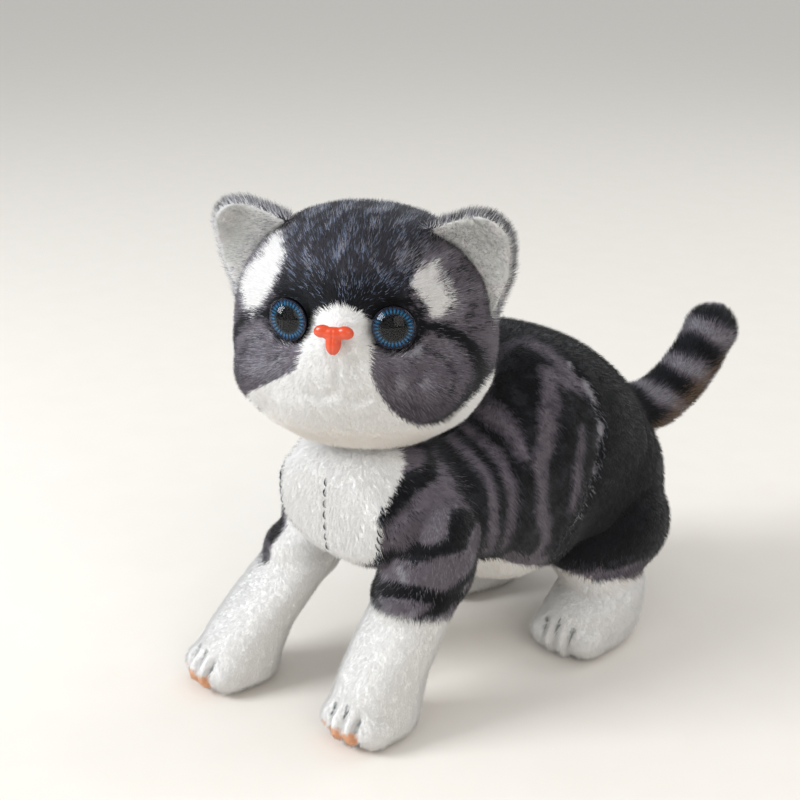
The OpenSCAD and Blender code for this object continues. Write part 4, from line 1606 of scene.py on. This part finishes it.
@dataclass
class Stitching:
    """Hand stitches: short bowed threads laid on the plush along a seam."""

    plan: ToyPlan
    thread_mm: float = 0.3
    stitch_mm: float = 3.0
    lift_mm: float = 0.9

    def build(self, name: str, path: Sequence[Point], step_mm: float, slant: float,
              forms: Sequence[bpy.types.Object], replaces: str) -> bpy.types.Object:
        """One seam's row of threads.

        Args:
            name: the piece's name.
            path: the seam's points, in the plan.
            step_mm: distance between stitches.
            slant: sideways run of a stitch against its length.
            forms: skins that the threads lie on.
            replaces: the CAD node that the row stands for.

        Returns:
            The row as one object.
        """
        tree_parts = []
        for form in forms:
            form.data.calc_loop_triangles()
            tree_parts.append(BVHTree.FromPolygons([v.co for v in form.data.vertices],
                                                   [t.vertices for t in form.data.loop_triangles]))
        points = [np.array(p, float) for p in path]
        legs = [np.linalg.norm(b - a) for a, b in zip(points[:-1], points[1:])]
        count = int(sum(legs) / step_mm)
        rows = []
        for number in range(count + 1):
            run = sum(legs) * number / max(count, 1)
            for a, b, leg in zip(points[:-1], points[1:], legs):
                if run <= leg + 1e-6:
                    break
                run -= leg
            where = Vector(turn_points(self.plan.body_matrix, (a + (b - a) * run / leg)[None])[0])
            hit = min((t.find_nearest(where) for t in tree_parts), key=lambda h: h[3])
            rows.append(self._stitch(hit[0], hit[1], Vector(b - a).normalized(), slant))
        select_only(*rows)
        bpy.ops.object.join()
        row = bpy.context.view_layer.objects.active
        row.name = row.data.name = name
        row.data.materials.clear()
        row.data.materials.append(THREAD)
        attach(row, "torso")
        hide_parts(replaces)
        LOG.info("%s: %d stitches", name, count + 1)
        return row

    def _stitch(self, where: Vector, normal: Vector, along: Vector, slant: float) -> bpy.types.Object:
        """One bowed thread whose ends dive into the plush."""
        select_none()
        bow = self.stitch_mm * 0.62 * MM
        bpy.ops.mesh.primitive_torus_add(major_segments=24, minor_segments=8, major_radius=bow,
                                         minor_radius=self.thread_mm * MM)
        thread = bpy.context.object
        across = normal.cross(along).normalized()
        run = (along + across * slant).normalized()
        run = (run - normal * run.dot(normal)).normalized()
        third = run.cross(normal).normalized()
        turn = Matrix((run, normal, third)).transposed().to_4x4()
        thread.matrix_world = Matrix.Translation(where - normal * bow + normal * self.lift_mm * MM) @ turn
        apply_place(thread)
        return thread


@dataclass
class Studio:
    """Plain pale floor and backdrop, soft studio light and the camera."""

    plan: ToyPlan
    camera_at: Point = (381.5, -281.4, 303.1)
    azimuth_deg: float = 49.0
    down_deg: float = 20.0
    lens_mm: float = 61.4

    def build(self) -> None:
        """Builds the whole studio."""
        self._floor()
        self._lights()
        self._camera()

    def _floor(self) -> None:
        """A pale floor that sweeps up into a backdrop."""
        select_none()
        bpy.ops.mesh.primitive_plane_add(size=60.0, location=(0, 0, -0.0002))
        floor = bpy.context.object
        floor.name = "studio_floor"
        made, tree, shader = new_material("studio_paper", {"Roughness": 0.8, "Specular IOR Level": 0.2})
        place = add_node(tree, "ShaderNodeTexCoord")
        tooth = add_node(tree, "ShaderNodeTexNoise", inputs={
            "Vector": place.outputs["Object"], "Scale": 40.0})
        mixed = add_node(tree, "ShaderNodeMix", {"data_type": "RGBA"}, {
            "Factor": tooth.outputs["Fac"], 6: linear("#dfd9d0"), 7: linear("#e3ddd5")})
        tree.links.new(mixed.outputs[2], shader.inputs["Base Color"])
        floor.data.materials.append(made)

    def _area(self, name: str, where: Point, size: float, watts: float, colour: str) -> None:
        """A soft square light that points at the toy."""
        light = bpy.data.lights.new(name, "AREA")
        light.size = size
        light.energy = watts
        light.color = linear(colour)[:3]
        lamp = bpy.data.objects.new(name, light)
        bpy.context.scene.collection.objects.link(lamp)
        lamp.location = where
        aim = Vector((0, 0, 0.09)) - Vector(where)
        lamp.rotation_euler = aim.to_track_quat("-Z", "Y").to_euler()

    def _lights(self) -> None:
        """A window-like key from the camera's left, a soft fill and a pale surround."""
        self._area("window_key", (-0.55, -1.15, 0.95), 0.7, 20.0, "#f6faff")
        self._area("soft_fill", (1.3, -0.4, 0.9), 1.2, 6.0, "#fff6ec")
        self._area("back_rim", (0.3, 1.2, 1.0), 0.9, 5.0, "#fbfbff")
        world = bpy.data.worlds.new("pale_room")
        world.use_nodes = True
        sky = world.node_tree.nodes["Background"]
        sky.inputs["Color"].default_value = linear("#e9edf0")
        # the room stays dim in reflections, as black cards round a studio table make it
        path = add_node(world.node_tree, "ShaderNodeLightPath")
        level = add_node(world.node_tree, "ShaderNodeMapRange", inputs={
            "Value": path.outputs["Is Glossy Ray"], "To Min": 0.88, "To Max": 0.12})
        world.node_tree.links.new(level.outputs["Result"], sky.inputs["Strength"])
        bpy.context.scene.world = world
        bpy.context.scene.view_settings.view_transform = "Standard"

    def _camera(self) -> None:
        """The camera at the matched angle."""
        lens = bpy.data.cameras.new("camera")
        lens.lens = self.lens_mm
        lens.sensor_width = 36.0
        lens.clip_start = 0.01
        camera = bpy.data.objects.new("camera", lens)
        bpy.context.scene.collection.objects.link(camera)
        camera.location = self.plan.at(*self.camera_at)
        camera.rotation_euler = (math.radians(90 - self.down_deg), 0, math.radians(self.azimuth_deg))
        bpy.context.scene.camera = camera


# ---------------------------------------------------------------- assembly

BACKING = BackingKnit().build()
THREAD = TwistedThread().build()


def main() -> None:
    """Builds the toy's sub-assemblies in order and reports each."""
    logging.basicConfig(level=logging.INFO, format="%(name)s %(message)s")
    plan = ToyPlan(frame["joints"])
    torso = Torso(plan).build()
    head = Head(plan).build()
    Neck(plan).build((torso, head))
    FrontLeg(plan, Side.LEFT, (30.0, 11.0, 0.0), 8.0).build((torso,))
    FrontLeg(plan, Side.RIGHT, (-38.0, -7.0, 0.0), 0.0).build((torso,))
    for side in Side:
        HindLeg(plan, side).build((torso,))
        Ear(plan, side).build()
    Tail(plan).build((torso,))
    Eyes(plan).build()
    Nose(plan).build()
    threads = Stitching(plan)
    threads.build("chest_thread", [(0, 4, 96), (0, 4, 66)], 4.6, 0.1, (torso,), "chest_stitches")
    for side in Side:
        shoulder = [(x * side.value, 8, z) for x, z in SHOULDER_SEAM]
        haunch = [(50 * side.value, y, z) for y, z in HAUNCH_SEAM]
        threads.build(f"shoulder_thread_{side.word}", shoulder, 3.6, 0.7, (torso,),
                      f"shoulder_stitches_{side.word}")
        threads.build(f"haunch_thread_{side.word}", haunch, 4.2, 0.5, (torso,),
                      f"haunch_stitches_{side.word}")
    Studio(plan).build()
    faces = sum(len(o.data.polygons) for o in bpy.data.objects if o.type == "MESH")
    LOG.info("whole toy: %d faces", faces)


if __name__ == "__main__":
    main()
